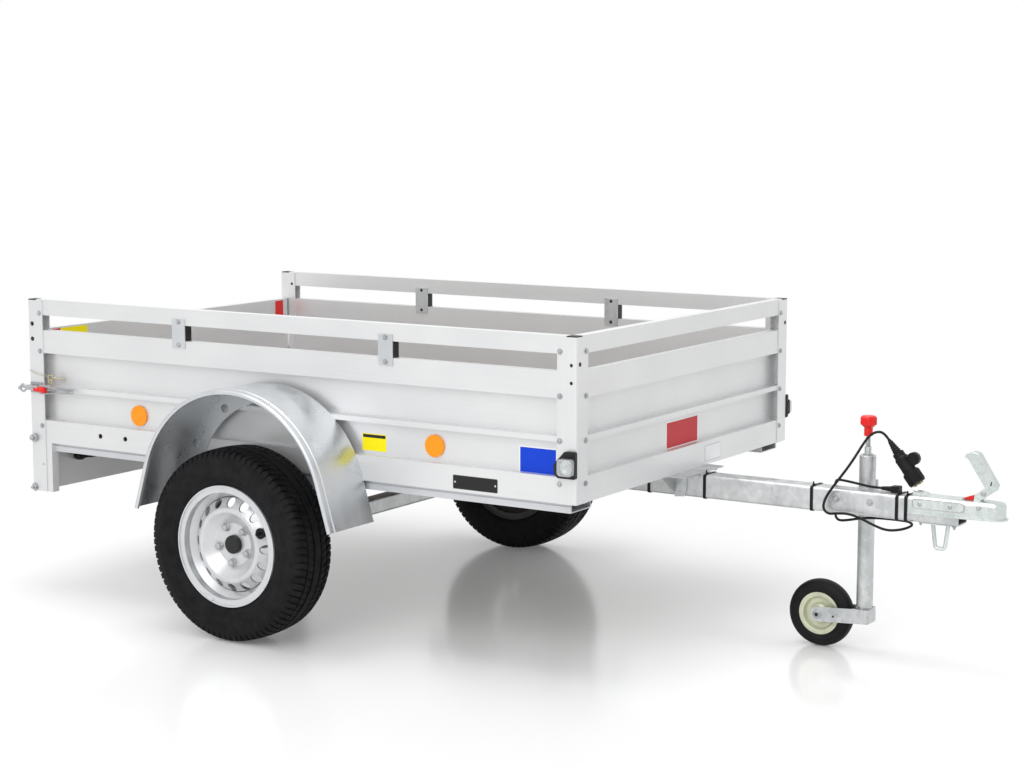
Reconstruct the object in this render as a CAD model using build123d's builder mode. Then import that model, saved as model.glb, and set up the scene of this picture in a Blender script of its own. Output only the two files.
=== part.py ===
"""Single-axle aluminium box trailer on its jockey wheel, one STEP file per sub-part.

Frame: +X forward to the coupling, +Y left, +Z up, millimetres.
Origin: on the ground, under the middle of the trailer's overall length.
"""
from build123d import *
from math import acos, atan2, cos, degrees, hypot, radians, sin, sqrt, tan
import os

# ---------------------------------------------------------------- driving sizes
box_length = 2064.0         # over the corner posts
box_width = 1338.0          # over the corner posts
rear_overhang = 970.0       # axle line to the back of the rear posts
coupling_reach = 2080.0     # axle line to the nose of the coupling
rear_fittings = 52.0        # latch eyes behind the rear posts
board_bottom = 496.0        # underside of the wall boards above the ground
board_height = 367.0        # wall boards, bottom to top
board_thick = 28.0          # wall boards and top rails
band_height = 74.0          # hollow band at the top and foot of a board
skin_thick = 3.0            # recessed skin, on the inner side of a board
band_wall = 2.5             # walls of the hollow bands
rib_height = 15.0           # stiffening rib half way up a board
rib_bottom = 172.0          # rib above the underside of the board
rail_gap = 48.5             # open gap between board and top rail
rail_height = 50.5          # hollow top rail
rail_wall = 2.5

post_core = 34.0            # square tube in each post's outer corner
post_size = 62.0            # post across, over its board channels
post_flange = 3.0           # flanges that hold the boards
post_corner = 5.0           # outer corner radius
post_wall = 3.0             # wall of the core tube
post_cap = 3.0              # plastic cap on the core
post_foot = 161.0           # rear posts reach this far below the boards
leg_width = 24.0            # closing leg beyond the rear posts' flanges
seat_clear = 0.3            # sliding clearance of boards and fitted pieces

floor_thick = 12.0
tailgate_clear = 6.0        # round the tailgate
hinge_rise = 14.0           # tailgate pin above the underside of the boards
hinge_pin_radius = 6.0
pin_clear = 0.05
hinge_boss = 30.0           # solid ends inside the tailgate's foot
hinge_head_radius = 12.0
hinge_head = 10.0

member_width = 110.0        # long side members under the boards
member_height = 27.0
member_wall = 2.5
member_inset = 14.0         # outer side behind the post faces
member_front_gap = 26.0     # front end behind the front post face
bearer_width = 50.0
bearer_wall = 3.0

drawbar_size = 70.0
drawbar_wall = 4.0
drawbar_top = 492.0
drawbar_tail = 100.0        # rear end ahead of the axle line
drawbar_nose = 130.0        # front end behind the nose of the coupling

wheel_radius = 290.0
wheel_track = 1564.0        # between the tyres' middles
tyre_width = 165.0
tread_width = 128.0
tyre_wall = 9.0
bead_radius = 165.1         # rim's bead seat, a 13 inch wheel
rim_flange_radius = 182.5
rim_width = 147.0           # over the flanges
rim_wall = 4.0
rim_well_radius = 148.0
disc_offset = 30.0          # wheel's middle to the disc's outer hub face
disc_crown = 62.0           # wheel's middle to the crown of the disc
disc_wall = 4.0
vent_count = 16
vent_radius = 14.0
vent_circle = 129.0
stud_circle = 112.0
stud_count = 5
hub_bore = 28.0

axle_ahead = 150.0          # torsion beam ahead of the wheel centres
beam_centre = 344.0
beam_size = 50.0
beam_wall = 5.0
arm_thick = 22.0
arm_gap = 16.0              # arm to the inside of the tyre
spindle_radius = 20.0
spindle_clear = 0.05
hub_radius = 62.0           # bolting flange
hub_flange = 12.0
hub_barrel_radius = 42.0
hub_length = 70.0
cap_height = 18.0

guard_radius = 345.0        # mudguard arch
guard_forward = 34.0        # arch centre ahead of the axle line
guard_centre = 415.0        # arch centre above the ground
guard_foot = 377.0          # lower ends above the ground
guard_tip = 372.0           # half its length at the feet
guard_width = 212.0
guard_thick = 2.0
guard_bead = 7.0            # rolled outer edge, radius
guard_flange = 58.0         # inner flange against the boards


# ---------------------------------------------------------------- derived sizes
rear_reach = rear_overhang + rear_fittings
axle_x = (rear_reach - coupling_reach) / 2
rear_x = axle_x - rear_overhang
front_x = rear_x + box_length
nose_x = axle_x + coupling_reach
drawbar_front = nose_x - drawbar_nose
half_width = box_width / 2
board_top = board_bottom + board_height
rail_bottom = board_top + rail_gap
rail_top = rail_bottom + rail_height
post_top = rail_top - post_cap
band_face = half_width - post_flange            # outer face of the side boards
inner_face = band_face - board_thick
front_band = front_x - post_flange
front_inner = front_band - board_thick
member_bottom = board_bottom - member_height
pin_height = board_bottom + hinge_rise
pin_x = rear_x + post_core / 2
gate_swing = board_thick / 2

os.makedirs("parts", exist_ok=True)
pieces = []


def keep(builder, name):
    """Label a finished piece and put it on the list to be written."""
    builder.part.label = name
    pieces.append(builder.part)


def outward(x, side, y, z):
    """Sketch plane on the XZ plane at side * y, normal away from the centre line.

    Its X runs forward; its Y runs up on the right side and down on the left.
    """
    return Plane(origin=(x, side * y, z), x_dir=(1, 0, 0), z_dir=(0, side, 0))


# ---------------------------------------------------------------- wall boards
def board_section(thick, height, foot_round=0.0):
    """Board profile: X from the outer face inward, Y up from the underside."""
    rib_middle = rib_bottom + rib_height / 2
    with BuildSketch(Plane.XY, mode=Mode.PRIVATE) as section:
        with Locations((thick - skin_thick, band_height / 2)):
            Rectangle(skin_thick, height - band_height, align=(Align.MIN, Align.MIN))
        for bottom in (0, height - band_height):
            with Locations((0, bottom)):
                Rectangle(thick, band_height, align=(Align.MIN, Align.MIN))
            with Locations((band_wall, bottom + band_wall)):
                Rectangle(thick - 2 * band_wall, band_height - 2 * band_wall,
                          align=(Align.MIN, Align.MIN), mode=Mode.SUBTRACT)
        if foot_round:
            fillet(section.vertices().group_by(Axis.Y)[0], foot_round)
            hollow_corners = section.vertices().group_by(Axis.Y)[1]
            hollow_corners = hollow_corners.filter_by_position(Axis.X, band_wall / 2, thick - band_wall / 2)
            fillet(hollow_corners, foot_round - band_wall)
        with Locations((thick / 2, rib_middle)):
            Rectangle(thick, rib_height)
            Rectangle(thick - 2 * band_wall, rib_height - 2 * band_wall, mode=Mode.SUBTRACT)
    return section.sketch


def rail_section(thick, height, wall):
    """Hollow rectangle: X from the outer face inward, Y up from its underside."""
    with BuildSketch(Plane.XY, mode=Mode.PRIVATE) as section:
        Rectangle(thick, height, align=(Align.MIN, Align.MIN))
        with Locations((thick / 2, height / 2)):
            Rectangle(thick - 2 * wall, height - 2 * wall, mode=Mode.SUBTRACT)
    return section.sketch


wall_rear = rear_x + post_core
wall_front = front_x - post_core
wall_half = half_width - post_core
hole_radius = 5.5
hole_height = 41.0          # empty holes in the foot band of a side board
hole_places = (301.0, 407.0)  # ahead of the rear post face

side_run = wall_front - wall_rear
with BuildPart() as side_walls:
    for side in (-1, 1):
        with BuildSketch(Plane(origin=(wall_rear, side * band_face, board_bottom),
                               x_dir=(0, -side, 0), z_dir=(-side, 0, 0))):
            add(board_section(board_thick, board_height))
        extrude(amount=-side * side_run)
        for place in hole_places:
            with BuildSketch(outward(rear_x + place, side, band_face, board_bottom + hole_height)):
                Circle(hole_radius)
            extrude(amount=-2 * band_wall, mode=Mode.SUBTRACT)
keep(side_walls, "side_walls")

with BuildPart() as front_wall:
    with BuildSketch(Plane(origin=(front_band, -wall_half, board_bottom), x_dir=(-1, 0, 0),
                           z_dir=(0, 1, 0))):
        add(board_section(board_thick, board_height))
    extrude(amount=2 * wall_half)
keep(front_wall, "front_wall")

with BuildPart() as rails:
    for side in (-1, 1):
        with BuildSketch(Plane(origin=(wall_rear, side * band_face, rail_bottom),
                               x_dir=(0, -side, 0), z_dir=(-side, 0, 0))):
            add(rail_section(board_thick, rail_height, rail_wall))
        extrude(amount=-side * side_run)
    with BuildSketch(Plane(origin=(front_band, -wall_half, rail_bottom), x_dir=(-1, 0, 0),
                           z_dir=(0, 1, 0))):
        add(rail_section(board_thick, rail_height, rail_wall))
    extrude(amount=2 * wall_half)
keep(rails, "top_rails")

# ---------------------------------------------------------------- corner posts
flange_reach = post_size - post_core
channel_inner = post_core - post_flange     # outer side of the inner flange


def post_section(channels):
    """Post profile with its outer corner at the origin and its channels along +X and +Y."""
    with BuildSketch(Plane.XY, mode=Mode.PRIVATE) as section:
        Rectangle(post_core, post_core, align=(Align.MIN, Align.MIN))
        for along_x in channels:
            for depth in (0, channel_inner):
                if along_x:
                    with Locations((post_core, depth)):
                        Rectangle(flange_reach, post_flange, align=(Align.MIN, Align.MIN))
                else:
                    with Locations((depth, post_core)):
                        Rectangle(post_flange, flange_reach, align=(Align.MIN, Align.MIN))
        corner = section.vertices().group_by(Axis.X)[0].sort_by(Axis.Y)[0]
        fillet(corner, post_corner)
        with Locations((post_core / 2, post_core / 2)):
            RectangleRounded(post_core - 2 * post_wall, post_core - 2 * post_wall,
                             post_corner - post_wall, mode=Mode.SUBTRACT)
    return section.sketch


post_hole = 5.0
post_hole_drops = (77.0, 126.0)     # below the post's top, in the core's outer side
post_table = (
    # name, x of the outer corner, forward sign, underside, channels along X / Y
    ("rear_posts", rear_x, 1, board_bottom - post_foot, (True,)),
    ("front_posts", front_x, -1, board_bottom, (True, False)),
)
for name, x, forward, underside, channels in post_table:
    with BuildPart() as posts:
        for side in (-1, 1):
            up = forward * -side
            base = underside if up > 0 else post_top
            with BuildSketch(Plane(origin=(x, side * half_width, base), x_dir=(forward, 0, 0),
                                   z_dir=(0, 0, up))):
                add(post_section(channels))
            extrude(amount=post_top - underside)
            for drop in post_hole_drops:
                with BuildSketch(outward(x + forward * post_core / 2, side, half_width,
                                         post_top - drop)):
                    Circle(post_hole)
                extrude(amount=-2 * post_wall, mode=Mode.SUBTRACT)
            if forward > 0:
                with BuildSketch(outward(pin_x, side, half_width - post_core, pin_height)):
                    Circle(hinge_pin_radius + pin_clear)
                extrude(amount=post_core, mode=Mode.SUBTRACT)
    keep(posts, name)

with BuildPart() as caps:
    for x in (rear_x + post_core / 2, front_x - post_core / 2):
        for side in (-1, 1):
            with BuildSketch(Plane.XY.offset(post_top)):
                with Locations((x, side * (half_width - post_core / 2))):
                    RectangleRounded(post_core, post_core, post_corner)
            extrude(amount=post_cap)
keep(caps, "post_caps")

leg_bottom = board_bottom - post_foot
with BuildPart() as legs:
    for side in (-1, 1):
        with BuildSketch(Plane.XY.offset(leg_bottom)):
            with Locations((rear_x + post_core, side * (band_face - board_thick / 2))):
                Rectangle(flange_reach + leg_width, board_thick, align=(Align.MIN, Align.CENTER))
            with Locations((rear_x + post_core + band_wall, side * (band_face - board_thick / 2))):
                Rectangle(flange_reach + leg_width - 2 * band_wall, board_thick - 2 * band_wall,
                          align=(Align.MIN, Align.CENTER), mode=Mode.SUBTRACT)
        extrude(amount=post_foot)
keep(legs, "rear_legs")

# ---------------------------------------------------------------- rail brackets
strap_width = 51.0
strap_thick = 3.0
strap_low = 23.0            # below the board's top
strap_high = 20.0           # above the rail's underside
strap_places = (640.0, 1424.0)   # middle, ahead of the rear post face
with BuildPart() as straps:
    for side in (-1, 1):
        for place in strap_places:
            for face in (band_face + strap_thick / 2, inner_face - strap_thick / 2):
                with Locations((rear_x + place, side * face,
                                (board_top - strap_low + rail_bottom + strap_high) / 2)):
                    Box(strap_width, strap_thick, rail_gap + strap_low + strap_high)
keep(straps, "rail_straps")

with BuildPart() as blocks:
    for side in (-1, 1):
        for place in strap_places:
            with Locations((rear_x + place, side * (band_face - board_thick / 2),
                            (board_top + rail_bottom) / 2)):
                Box(strap_width, board_thick, rail_gap)
keep(blocks, "rail_blocks")

# ---------------------------------------------------------------- floor and frame
floor_rear = pin_x + gate_swing + tailgate_clear
with BuildPart() as floor:
    with BuildSketch(Plane.XY.offset(board_bottom)):
        for low, high, half in (
            (floor_rear, rear_x + post_size, inner_face - post_flange),
            (rear_x + post_size, front_x - post_size, inner_face),
            (front_x - post_size, front_inner, half_width - post_size),
        ):
            with Locations(((low + high) / 2, 0)):
                Rectangle(high - low, 2 * half)
    extrude(amount=floor_thick)
keep(floor, "floor")

member_outer = half_width - member_inset
member_inner = member_outer - member_width
member_rear = rear_x + post_size + leg_width
member_front = front_x - member_front_gap
lip_groove = 9.0
lip_depth = 4.0
with BuildPart() as members:
    for side in (-1, 1):
        with BuildSketch(Plane(origin=(member_rear, side * member_outer, member_bottom),
                               x_dir=(0, -side, 0), z_dir=(-side, 0, 0))):
            Rectangle(member_width, member_height, align=(Align.MIN, Align.MIN))
            with Locations((member_width / 2 + lip_depth / 2, member_height / 2)):
                Rectangle(member_width - 2 * member_wall - lip_depth,
                          member_height - 2 * member_wall, mode=Mode.SUBTRACT)
            with Locations((0, member_height)):
                Rectangle(lip_depth, lip_groove, align=(Align.MIN, Align.MAX), mode=Mode.SUBTRACT)
        extrude(amount=-side * (member_front - member_rear))
keep(members, "side_members")

drawbar_half = drawbar_size / 2
plate_thick = board_bottom - drawbar_top
bearer_places = (150.0, 560.0, 1000.0, 1560.0)   # middle, ahead of the rear post face
with BuildPart() as bearers:
    for place in bearer_places:
        x = rear_x + place
        inner = drawbar_half if x + bearer_width / 2 > axle_x + drawbar_tail else 0
        spans = ((inner, member_inner),) if inner else ((-member_inner, member_inner),)
        for low, high in spans:
            for side in ((-1, 1) if inner else (1,)):
                with BuildSketch(Plane(origin=(x, side * low, board_bottom), x_dir=(1, 0, 0),
                                       z_dir=(0, side, 0))):
                    with Locations((0, side * member_height / 2)):
                        Rectangle(bearer_width, member_height)
                    with Locations((0, side * (member_height / 2 + bearer_wall))):
                        Rectangle(bearer_width - 2 * bearer_wall, member_height,
                                  mode=Mode.SUBTRACT)
                extrude(amount=high - low)
keep(bearers, "floor_bearers")

with BuildPart() as drawbar:
    with BuildSketch(Plane.YZ.offset(axle_x + drawbar_tail)):
        with Locations((0, drawbar_top - drawbar_half)):
            RectangleRounded(drawbar_size, drawbar_size, drawbar_wall * 2)
            RectangleRounded(drawbar_size - 2 * drawbar_wall, drawbar_size - 2 * drawbar_wall,
                             drawbar_wall, mode=Mode.SUBTRACT)
    extrude(amount=drawbar_front - axle_x - drawbar_tail)
keep(drawbar, "drawbar")

# ---------------------------------------------------------------- drawbar bracket
gusset_length = 120.0
gusset_back = 70.0          # reach behind the front post face
gusset_thick = 5.0
gusset_flange = 90.0
# Side plate: distance from the gusset's rear end, depth below the drawbar's top.
gusset_outline = ((0, 0), (gusset_length, 0), (gusset_length, 8), (81, 10), (79, 50), (72, 70),
                  (40, 73), (36, 28), (0, 20))
web_place = 36.0            # cross webs ahead of the gusset's rear end
web_depth = 58.0
gusset_reach = {-1: 74.0, 1: 48.0}      # depth on each side; the left one clears the lamp cable
with BuildPart() as bracket:
    with Locations((front_x - gusset_back + gusset_length / 2, 0, (drawbar_top + board_bottom) / 2)):
        Box(gusset_length, drawbar_size + 2 * gusset_flange, plate_thick)
    for side, reach in gusset_reach.items():
        with BuildSketch(Plane(origin=(front_x - gusset_back, side * drawbar_half, drawbar_top),
                               x_dir=(1, 0, 0), z_dir=(0, side, 0))):
            with BuildLine():
                Polyline(*[(x, side * depth) for x, depth in gusset_outline if depth < reach],
                         close=True)
            make_face()
        extrude(amount=gusset_thick)
        with BuildSketch(Plane.YZ.offset(front_x - gusset_back + web_place)):
            with BuildLine():
                Polyline((side * drawbar_half, drawbar_top),
                         (side * (drawbar_half + gusset_flange), drawbar_top),
                         (side * (drawbar_half + gusset_thick), drawbar_top - min(web_depth, reach)),
                         (side * drawbar_half, drawbar_top - min(web_depth, reach)), close=True)
            make_face()
        extrude(amount=gusset_thick)
keep(bracket, "drawbar_bracket")

# ---------------------------------------------------------------- axle
beam_x = axle_x + axle_ahead
half_track = wheel_track / 2
tyre_inner = half_track - tyre_width / 2
arm_outer = tyre_inner - arm_gap
arm_inner = arm_outer - arm_thick
with BuildPart() as beam:
    with BuildSketch(Plane(origin=(beam_x, -arm_inner, beam_centre), x_dir=(1, 0, 0),
                           z_dir=(0, 1, 0))):
        RectangleRounded(beam_size, beam_size, beam_wall * 1.6)
        RectangleRounded(beam_size - 2 * beam_wall, beam_size - 2 * beam_wall, beam_wall,
                         mode=Mode.SUBTRACT)
    extrude(amount=2 * arm_inner)
keep(beam, "axle_beam")

beam_top = beam_centre + beam_size / 2
hanger_length = 130.0
hanger_plate = 6.0
hanger_width = 62.0
hanger_gap = 40.5           # hanger to the suspension arm
hanger_place = arm_inner - hanger_gap - hanger_width / 2
with BuildPart() as hangers:
    for side in (-1, 1):
        with BuildSketch(Plane(origin=(beam_x - hanger_length / 2, side * hanger_place, 0),
                               x_dir=(0, 1, 0), z_dir=(1, 0, 0))):
            with Locations((0, member_bottom)):
                Rectangle(hanger_width, hanger_plate, align=(Align.CENTER, Align.MAX))
            with Locations((0, beam_top)):
                Rectangle(hanger_width, hanger_plate, align=(Align.CENTER, Align.MIN))
            with Locations((0, (member_bottom + beam_top) / 2)):
                Rectangle(hanger_plate, member_bottom - beam_top)
        extrude(amount=hanger_length)
    with BuildSketch(Plane(origin=(beam_x - hanger_length / 2 + 20, 0, 0), x_dir=(0, 1, 0),
                           z_dir=(1, 0, 0))):
        with Locations((0, (drawbar_top - drawbar_size + beam_top) / 2)):
            Rectangle(drawbar_size, drawbar_top - drawbar_size - beam_top)
            Rectangle(drawbar_size - 2 * hanger_plate,
                      drawbar_top - drawbar_size - beam_top - 2 * hanger_plate,
                      mode=Mode.SUBTRACT)
    extrude(amount=hanger_length - 40)
keep(hangers, "axle_hangers")

arm_beam_radius = 44.0
arm_hub_radius = 36.0
hub_face = half_track + disc_offset - disc_wall     # where the wheel bolts to the hub
hub_inner = hub_face - hub_length
with BuildPart() as arms:
    for side in (-1, 1):
        with BuildSketch(outward(0, side, arm_inner, 0)):
            with Locations((beam_x, -side * beam_centre)):
                Circle(arm_beam_radius)
            with Locations((axle_x, -side * wheel_radius)):
                Circle(arm_hub_radius)
            make_hull()
        extrude(amount=arm_thick)
        with BuildSketch(outward(axle_x, side, arm_outer, wheel_radius)):
            Circle(spindle_radius)
        extrude(amount=hub_face - arm_outer)
keep(arms, "suspension_arms")

for side, word in ((-1, "right"), (1, "left")):
    with BuildPart() as hub:
        with BuildSketch(outward(axle_x, side, hub_inner, wheel_radius)):
            Circle(hub_barrel_radius)
            Circle(spindle_radius + spindle_clear, mode=Mode.SUBTRACT)
        extrude(amount=hub_length)
        with BuildSketch(outward(axle_x, side, hub_face - hub_flange, wheel_radius)):
            Circle(hub_radius)
            Circle(spindle_radius + spindle_clear, mode=Mode.SUBTRACT)
        extrude(amount=hub_flange)
    keep(hub, "hub_" + word)

# ---------------------------------------------------------------- wheels
tyre_half = tyre_width / 2
tread_half = tread_width / 2
rim_half = rim_width / 2
flange_inside = rim_half - 7.5
bead_half = flange_inside - seat_clear
shoulder = 4.0              # tread's edge below its middle
bulge_radius = bead_radius + 0.57 * (wheel_radius - bead_radius)
lip = 4.0                   # rolled lip of each rim flange
lip_thick = 3.5
well_half = 28.0            # flat of the rim's well, from the wheel's middle
well_slope = 16.5           # run of the slope up to the bead seat
barrel_seat = rim_well_radius - rim_wall
# Rim barrel, half sections: distance from the wheel's middle plane, radius.
barrel_top = ((rim_half, rim_flange_radius - lip), (rim_half, rim_flange_radius),
              (flange_inside, rim_flange_radius), (flange_inside, bead_radius),
              (well_half + well_slope, bead_radius), (well_half, rim_well_radius))
barrel_under = ((well_half + rim_wall / 2, barrel_seat),
                (well_half + well_slope + rim_wall / 2, bead_radius - rim_wall),
                (rim_half - lip_thick, bead_radius - rim_wall),
                (rim_half - lip_thick, rim_flange_radius - lip))
# Pressed disc: a skirt welded in the barrel, a cone with the vents, a rounded crown and a bowl.
disc_skirt = 8.0            # inner end of the skirt, from the wheel's middle
disc_skirt_end = 24.0
crown_outer = 112.0         # radii of the crown's flat
crown_inner = 100.0
bowl_radius = 86.0
bowl_foot = 70.0
disc_flat = 63.0            # flat on the hub
disc_face = ((disc_skirt, barrel_seat), (disc_skirt_end, barrel_seat),
             (disc_skirt_end + 9, barrel_seat - 3), (disc_crown - 11, crown_outer + 8),
             (disc_crown - 3, crown_outer), (disc_crown - 1, (crown_outer + crown_inner) / 2),
             (disc_crown - 3, crown_inner), (disc_crown - 15, bowl_radius),
             (disc_offset + 5, bowl_foot), (disc_offset, disc_flat), (disc_offset, hub_bore))
disc_inside = disc_offset - disc_wall
disc_back = ((disc_inside, hub_bore), (disc_inside, disc_flat + 1), (disc_inside + 5, bowl_foot + 3),
             (disc_crown - 19.5, bowl_radius + 2), (disc_crown - 7.5, crown_inner + 1),
             (disc_crown - 5.5, (crown_outer + crown_inner) / 2), (disc_crown - 7.5, crown_outer - 1.5),
             (disc_crown - 14.5, crown_outer + 5), (disc_skirt_end + 6, barrel_seat - 7),
             (disc_skirt, barrel_seat - disc_wall))
for side, word in ((-1, "right"), (1, "left")):
    centre = (axle_x, side * half_track, wheel_radius)
    section = Plane(origin=centre, x_dir=(0, side, 0), z_dir=(side, 0, 0))
    spin_axis = Axis(centre, (0, 1, 0))
    with BuildPart() as tyre:
        with BuildSketch(section):
            for inset in (0, tyre_wall):
                top = wheel_radius - inset
                edge = tread_half - inset * 0.6
                foot = (bead_half - inset * 1.6, rim_flange_radius + inset * 0.6)
                with BuildLine():
                    crown = ThreePointArc((-edge, top - shoulder), (0, top), (edge, top - shoulder))
                    outer = ThreePointArc(crown @ 1, (tyre_half - inset, bulge_radius), foot)
                    inner = ThreePointArc(crown @ 0, (-tyre_half + inset, bulge_radius),
                                          (-foot[0], foot[1]))
                    Polyline(outer @ 1, (foot[0], bead_radius + seat_clear),
                             (-foot[0], bead_radius + seat_clear), inner @ 1)
                make_face(mode=Mode.ADD if inset == 0 else Mode.SUBTRACT)
        revolve(axis=spin_axis)
    keep(tyre, "tyre_" + word)

    with BuildPart() as rim:
        with BuildSketch(section):
            with BuildLine():
                Polyline(*barrel_top, *[(-across, radius) for across, radius in reversed(barrel_top)],
                         *[(-across, radius) for across, radius in reversed(barrel_under)],
                         *barrel_under, close=True)
            make_face()
            with BuildLine():
                Polyline(*disc_face, *disc_back, close=True)
            make_face()
        revolve(axis=spin_axis)
        drill = outward(axle_x, side, half_track + disc_offset - disc_wall - 6, wheel_radius)
        with BuildSketch(drill):
            with PolarLocations(vent_circle, vent_count):
                Circle(vent_radius)
        extrude(amount=disc_crown, mode=Mode.SUBTRACT)
    keep(rim, "rim_" + word)

    with BuildPart() as cap:
        with BuildSketch(outward(axle_x, side, hub_face, wheel_radius)):
            Circle(hub_bore - seat_clear)
        extrude(amount=cap_height)
        fillet(cap.edges().sort_by(Axis.Y)[-1 if side > 0 else 0], cap_height / 4)
    keep(cap, "hub_cap_" + word)

# ---------------------------------------------------------------- mudguards
guard_x = axle_x + guard_forward
guard_inner = band_face
guard_outer = guard_inner + guard_width
tip_out = guard_tip
tip_down = guard_centre - guard_foot
tip_distance = hypot(tip_out, tip_down)
guard_start = degrees(acos(guard_radius / tip_distance)) - degrees(atan2(tip_down, tip_out))
skirt = sqrt(tip_distance ** 2 - guard_radius ** 2)


def guard_plane(angle, facing):
    """Radial plane of the right-hand arch: X outward from its centre, Y away from the boards."""
    turn = radians(angle)
    return Plane(origin=(guard_x, -guard_inner, guard_centre),
                 x_dir=(cos(turn), 0, sin(turn)),
                 z_dir=(facing * sin(turn), 0, -facing * cos(turn)))


def guard_section(flip):
    """Sheet with its inner flange and rolled outer edge; flip turns Y for the rear plane."""
    roll = guard_width - guard_bead
    with BuildSketch(Plane.XY, mode=Mode.PRIVATE) as section:
        with Locations((guard_radius - guard_thick / 2, flip * roll / 2)):
            Rectangle(guard_thick, roll)
        with Locations((guard_radius - guard_flange / 2, flip * guard_thick / 2)):
            Rectangle(guard_flange, guard_thick)
        with Locations((guard_radius - guard_bead, flip * roll)):
            Circle(guard_bead)
            Circle(guard_bead - guard_thick, mode=Mode.SUBTRACT)
        with Locations((guard_radius, flip * (roll - guard_bead * 2.6))):
            Circle(guard_bead * 0.55)
    return section.sketch


with BuildPart() as guard:
    with BuildSketch(guard_plane(guard_start, 1)):
        add(guard_section(1))
    revolve(axis=Axis((guard_x, 0, guard_centre), (0, -1, 0)),
            revolution_arc=180 - 2 * guard_start)
    with BuildSketch(guard_plane(guard_start, 1)):
        add(guard_section(1))
    extrude(amount=skirt)
    with BuildSketch(guard_plane(180 - guard_start, -1)):
        add(guard_section(-1))
    extrude(amount=skirt)
keep(guard, "mudguard_right")
with BuildPart() as guard_left:
    add(mirror(guard.part, about=Plane.XZ))
keep(guard_left, "mudguard_left")

# ---------------------------------------------------------------- tailgate
gate_outer = pin_x - board_thick / 2
gate_half = half_width - post_core - tailgate_clear
with BuildPart() as gate:
    with BuildSketch(Plane(origin=(gate_outer, gate_half, board_bottom), x_dir=(1, 0, 0),
                           z_dir=(0, -1, 0))):
        add(board_section(board_thick, board_height, foot_round=hinge_rise - 1))
    extrude(amount=2 * gate_half)
    for side in (-1, 1):
        with BuildSketch(outward(pin_x, side, gate_half - hinge_boss, pin_height)):
            Circle(board_thick / 2 - band_wall + 1)
        extrude(amount=hinge_boss)
        with BuildSketch(outward(pin_x, side, gate_half, pin_height)):
            Circle(hinge_pin_radius)
        extrude(amount=half_width + 1 - gate_half)
        with BuildSketch(outward(pin_x, side, half_width + 1, pin_height)):
            Circle(hinge_head_radius)
        extrude(amount=hinge_head)
keep(gate, "tailgate")

keeper_height = 172.0       # eyes above the underside of the boards
keeper_inset = 22.0         # eyes inside the ends of the tailgate
eye_radius = 13.0           # ring's middle line
eye_wire = 4.0
eye_reach = rear_reach - rear_overhang + gate_outer - rear_x - eye_radius - eye_wire
with BuildPart() as keepers:
    for side in (-1, 1):
        spot = (gate_outer, side * (gate_half - keeper_inset), board_bottom + keeper_height + rib_height / 2)
        with BuildSketch(Plane(origin=spot, x_dir=(0, 1, 0), z_dir=(-1, 0, 0))):
            Circle(eye_wire)
        extrude(amount=eye_reach - eye_radius)
        with BuildSketch(Plane(origin=spot, x_dir=(0, 1, 0), z_dir=(-1, 0, 0))):
            Circle(eye_wire * 2.2)
        extrude(amount=3)
        ring = Plane(origin=(spot[0] - eye_reach, spot[1], spot[2]), x_dir=(1, 0, 0),
                     z_dir=(0, -1, 0))
        with Locations(ring):
            Torus(eye_radius, eye_wire)
keep(keepers, "tailgate_eyes")

# ---------------------------------------------------------------- rear beam and lamps
beam_lid = 22.0             # solid bands over and under the lamp recess
beam_top_gap = tailgate_clear
rear_beam_top = board_bottom - beam_top_gap
rear_beam_bottom = board_bottom - post_foot
beam_depth = board_thick
recess_height = rear_beam_top - rear_beam_bottom - 2 * beam_lid
with BuildPart() as rear_beam:
    with BuildSketch(Plane(origin=(gate_outer, wall_half, rear_beam_bottom), x_dir=(1, 0, 0),
                           z_dir=(0, -1, 0))):
        Rectangle(beam_depth, rear_beam_top - rear_beam_bottom, align=(Align.MIN, Align.MIN))
        with Locations((0, beam_lid)):
            Rectangle(beam_depth - skin_thick, recess_height, align=(Align.MIN, Align.MIN),
                      mode=Mode.SUBTRACT)
        for bottom in (0, beam_lid + recess_height):
            with Locations((band_wall, bottom + band_wall)):
                Rectangle(beam_depth - 2 * band_wall, beam_lid - 2 * band_wall,
                          align=(Align.MIN, Align.MIN), mode=Mode.SUBTRACT)
    extrude(amount=2 * wall_half)
keep(rear_beam, "rear_beam")

lamp_width = 236.0
lamp_height = 104.0
lamp_inset = 30.0           # outer end inside the rear post
lamp_proud = 9.0            # lens behind the rear beam
lamp_round = 14.0
recess_back = gate_outer + beam_depth - skin_thick
lamp_middle = (rear_beam_top + rear_beam_bottom) / 2
with BuildPart() as tail_lamps:
    for side in (-1, 1):
        with BuildSketch(Plane(origin=(recess_back, side * (wall_half - lamp_inset - lamp_width / 2),
                                       lamp_middle), x_dir=(0, 1, 0), z_dir=(-1, 0, 0))):
            RectangleRounded(lamp_width, lamp_height, lamp_round)
        extrude(amount=recess_back - gate_outer + lamp_proud)
    fillet(tail_lamps.faces().group_by(Axis.X)[0].edges(), lamp_proud * 0.6)
keep(tail_lamps, "tail_lamps")

plate_lamp_places = (-120.0, 120.0)
plate_lamp_size = (40.0, 34.0, 26.0)
with BuildPart() as plate_lamps:
    for y in plate_lamp_places:
        with Locations((gate_outer - plate_lamp_size[1] / 2, y,
                        rear_beam_top - plate_lamp_size[2] / 2)):
            Box(plate_lamp_size[1], plate_lamp_size[0], plate_lamp_size[2])
keep(plate_lamps, "plate_lamps")

marker_low = 570.0
marker_thick = 12.0
marker_round = 5.0
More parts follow.
